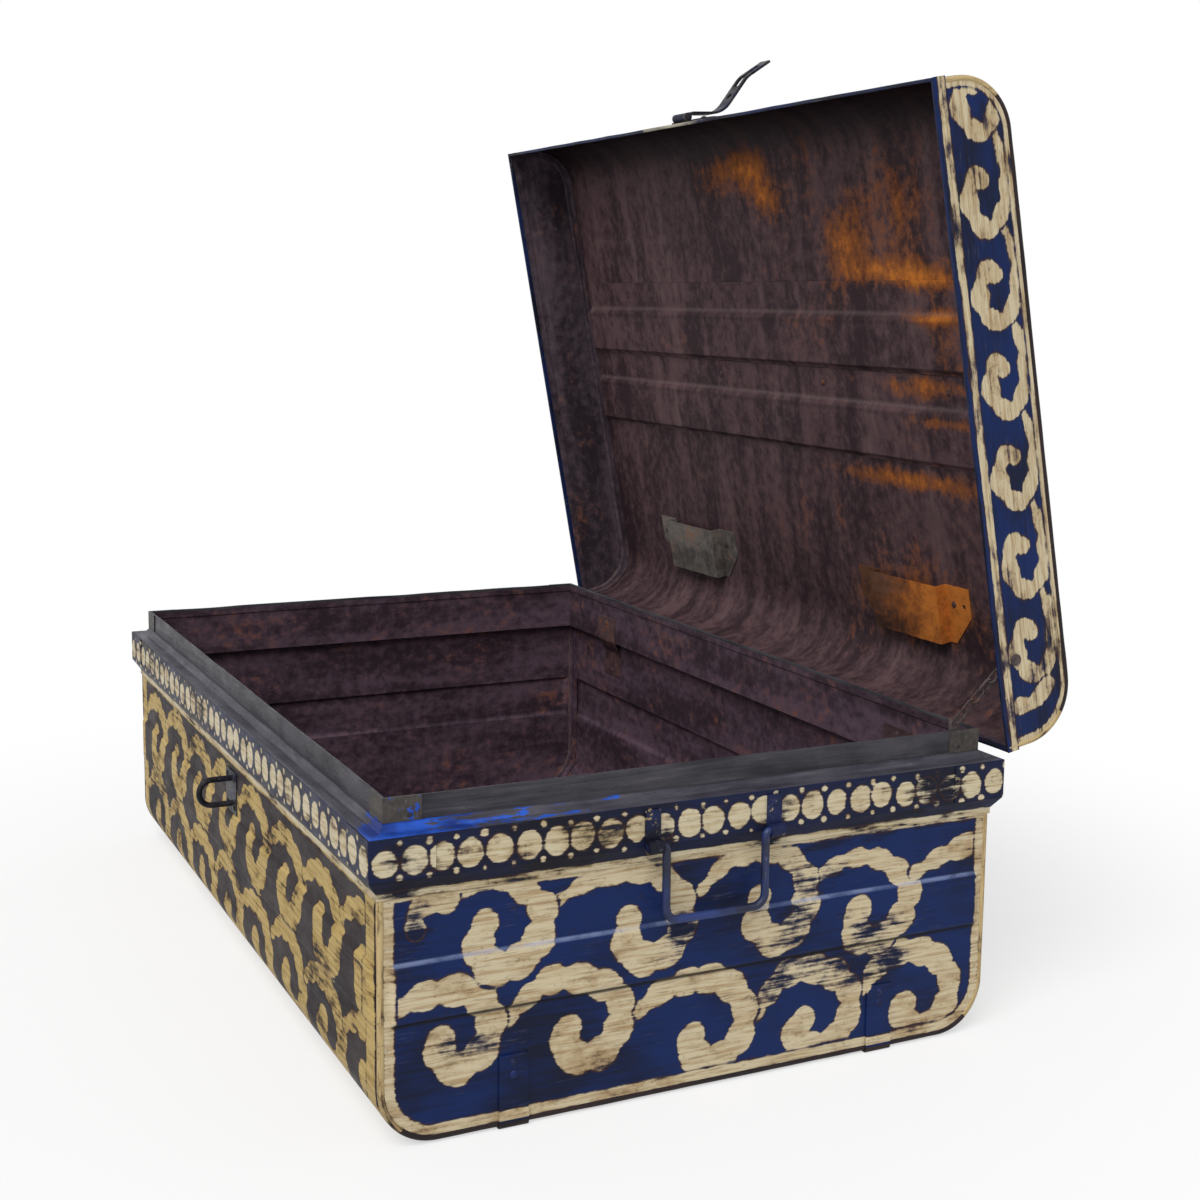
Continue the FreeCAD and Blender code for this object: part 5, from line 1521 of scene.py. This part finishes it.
def stay_chain():
    lug_middle = half_length - collar_inset - 2 * sheet - strap_sheet / 2
    lug = np.array([lug_middle, half_width - lug_from_back, belt_top + lug_rise])
    eye = raised([lid_length - sheet - eye_stand, half_width - eye_from_back, belt_top + eye_rise])
    pull = (eye - lug) / np.linalg.norm(eye - lug)
    start = lug + pull * (lug_hole - link_wire - 2 * link_play)
    finish = eye - pull * (eye_hole - 2 * link_wire - link_play)
    overlap = 2 * link_wire + link_play
    reach = (np.linalg.norm(finish - start) + (link_count - 1) * overlap) / link_count
    bend = link_half - link_wire
    level = np.cross(pull, [0.0, 1.0, 0.0])
    level = level / np.linalg.norm(level)
    turns = (level, np.cross(pull, level))
    links = []
    for index in range(link_count):
        flat = turns[index % 2]
        spine = []
        for angle in np.linspace(0, 2 * math.pi, link_steps, endpoint=False):
            far = reach - bend if math.sin(angle) >= 0 else bend
            along = index * (reach - overlap) + bend * math.sin(angle) + far
            spine.append(start + pull * along + flat * bend * math.cos(angle))
        links.append(tube(np.array(spine), link_wire, link_sides, np.cross(pull, flat), True))
    points, faces = joined(links)
    piece = add_piece("stay_links", points, faces, [stay_rust], 0, points)
    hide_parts("stay_chain")
    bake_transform(piece)


stay_chain()
dress(stay_rust, "stay_lug", "stay_rivet", "stay_eye")


# Studio
# A white floor, soft light from all round with a broad light above the right of the camera, and the camera
# of the photograph, whose picture was cut from above the middle of its lens.

sky_strength = 0.46
sun_strength = 2.3
sun_from = (0.60, -0.62, 1.0)
sun_spread = math.radians(40)
floor_reach = 30.0
floor_glow = 0.60
glow_start = 0.50
glow_full = 1.1
white = (1, 1, 1, 1)


def studio_floor():
    mesh = bpy.data.meshes.new("floor")
    square = [(-1, -1), (1, -1), (1, 1), (-1, 1)]
    mesh.from_pydata([(x * floor_reach, y * floor_reach, 0) for x, y in square], [], [(0, 1, 2, 3)])
    floor = bpy.data.objects.new("floor", mesh)
    bpy.context.collection.objects.link(floor)
    material = bpy.data.materials.new("floor_white")
    material.use_nodes = True
    tree = material.node_tree
    tree.nodes.clear()
    output = put(tree, "ShaderNodeOutputMaterial")
    matt = put(tree, "ShaderNodeBsdfDiffuse", {"Color": (0.9, 0.9, 0.9, 1.0)})
    glow = put(tree, "ShaderNodeEmission", {"Color": white, "Strength": 1.0})
    path = put(tree, "ShaderNodeLightPath").outputs
    seen = maths(tree, "MAXIMUM", path["Is Camera Ray"], path["Is Glossy Ray"])
    place = put(tree, "ShaderNodeNewGeometry").outputs["Position"]
    distance = put(tree, "ShaderNodeVectorMath", {0: place}, operation="LENGTH").outputs["Value"]
    share = times(tree, seen, ramp(tree, distance, glow_start, glow_full, floor_glow, 1.0))
    mixed = put(tree, "ShaderNodeMixShader", {0: share, 1: matt.outputs[0], 2: glow.outputs[0]})
    tree.links.new(mixed.outputs[0], output.inputs["Surface"])
    mesh.materials.append(material)


def studio_world():
    world = bpy.data.worlds.new("studio")
    bpy.context.scene.world = world
    world.use_nodes = True
    tree = world.node_tree
    tree.nodes.clear()
    output = put(tree, "ShaderNodeOutputWorld")
    soft = put(tree, "ShaderNodeBackground", {"Color": (0.98, 0.99, 1.0, 1), "Strength": sky_strength})
    plain = put(tree, "ShaderNodeBackground", {"Color": white, "Strength": 1.0})
    path = put(tree, "ShaderNodeLightPath").outputs
    seen = maths(tree, "MAXIMUM", path["Is Camera Ray"], path["Is Glossy Ray"])
    seen = maths(tree, "MAXIMUM", seen, path["Is Transmission Ray"])
    mixed = put(tree, "ShaderNodeMixShader", {0: seen, 1: soft.outputs[0], 2: plain.outputs[0]})
    tree.links.new(mixed.outputs[0], output.inputs["Surface"])


def studio_sun():
    light = bpy.data.lights.new("sun", "SUN")
    light.energy = sun_strength
    light.angle = sun_spread
    holder = bpy.data.objects.new("sun", light)
    holder.rotation_euler = (-Vector(sun_from)).to_track_quat("-Z", "Y").to_euler()
    bpy.context.collection.objects.link(holder)


def photo_camera():
    yaw = math.radians(-64.333)
    pitch = math.radians(-7.565)
    roll = math.radians(0.595)
    spot = (1.5724, -0.6560, 0.6203)
    ahead = Vector((math.sin(yaw) * math.cos(pitch), math.cos(yaw) * math.cos(pitch), math.sin(pitch)))
    right = Vector((math.cos(yaw), -math.sin(yaw), 0))
    above = right.cross(ahead)
    level = right * math.cos(roll) + above * math.sin(roll)
    upright = above * math.cos(roll) - right * math.sin(roll)
    data = bpy.data.cameras.new("photo_camera")
    data.lens = 52.45
    data.sensor_width = 36.0
    data.shift_x = 0.0045
    data.shift_y = -0.0563
    camera = bpy.data.objects.new("photo_camera", data)
    turned = Matrix((level, upright, -ahead)).transposed().to_4x4()
    camera.matrix_world = Matrix.Translation(spot) @ turned
    bpy.context.collection.objects.link(camera)
    bpy.context.scene.camera = camera


studio_floor()
studio_world()
studio_sun()
photo_camera()
bpy.context.scene.view_settings.view_transform = "Standard"
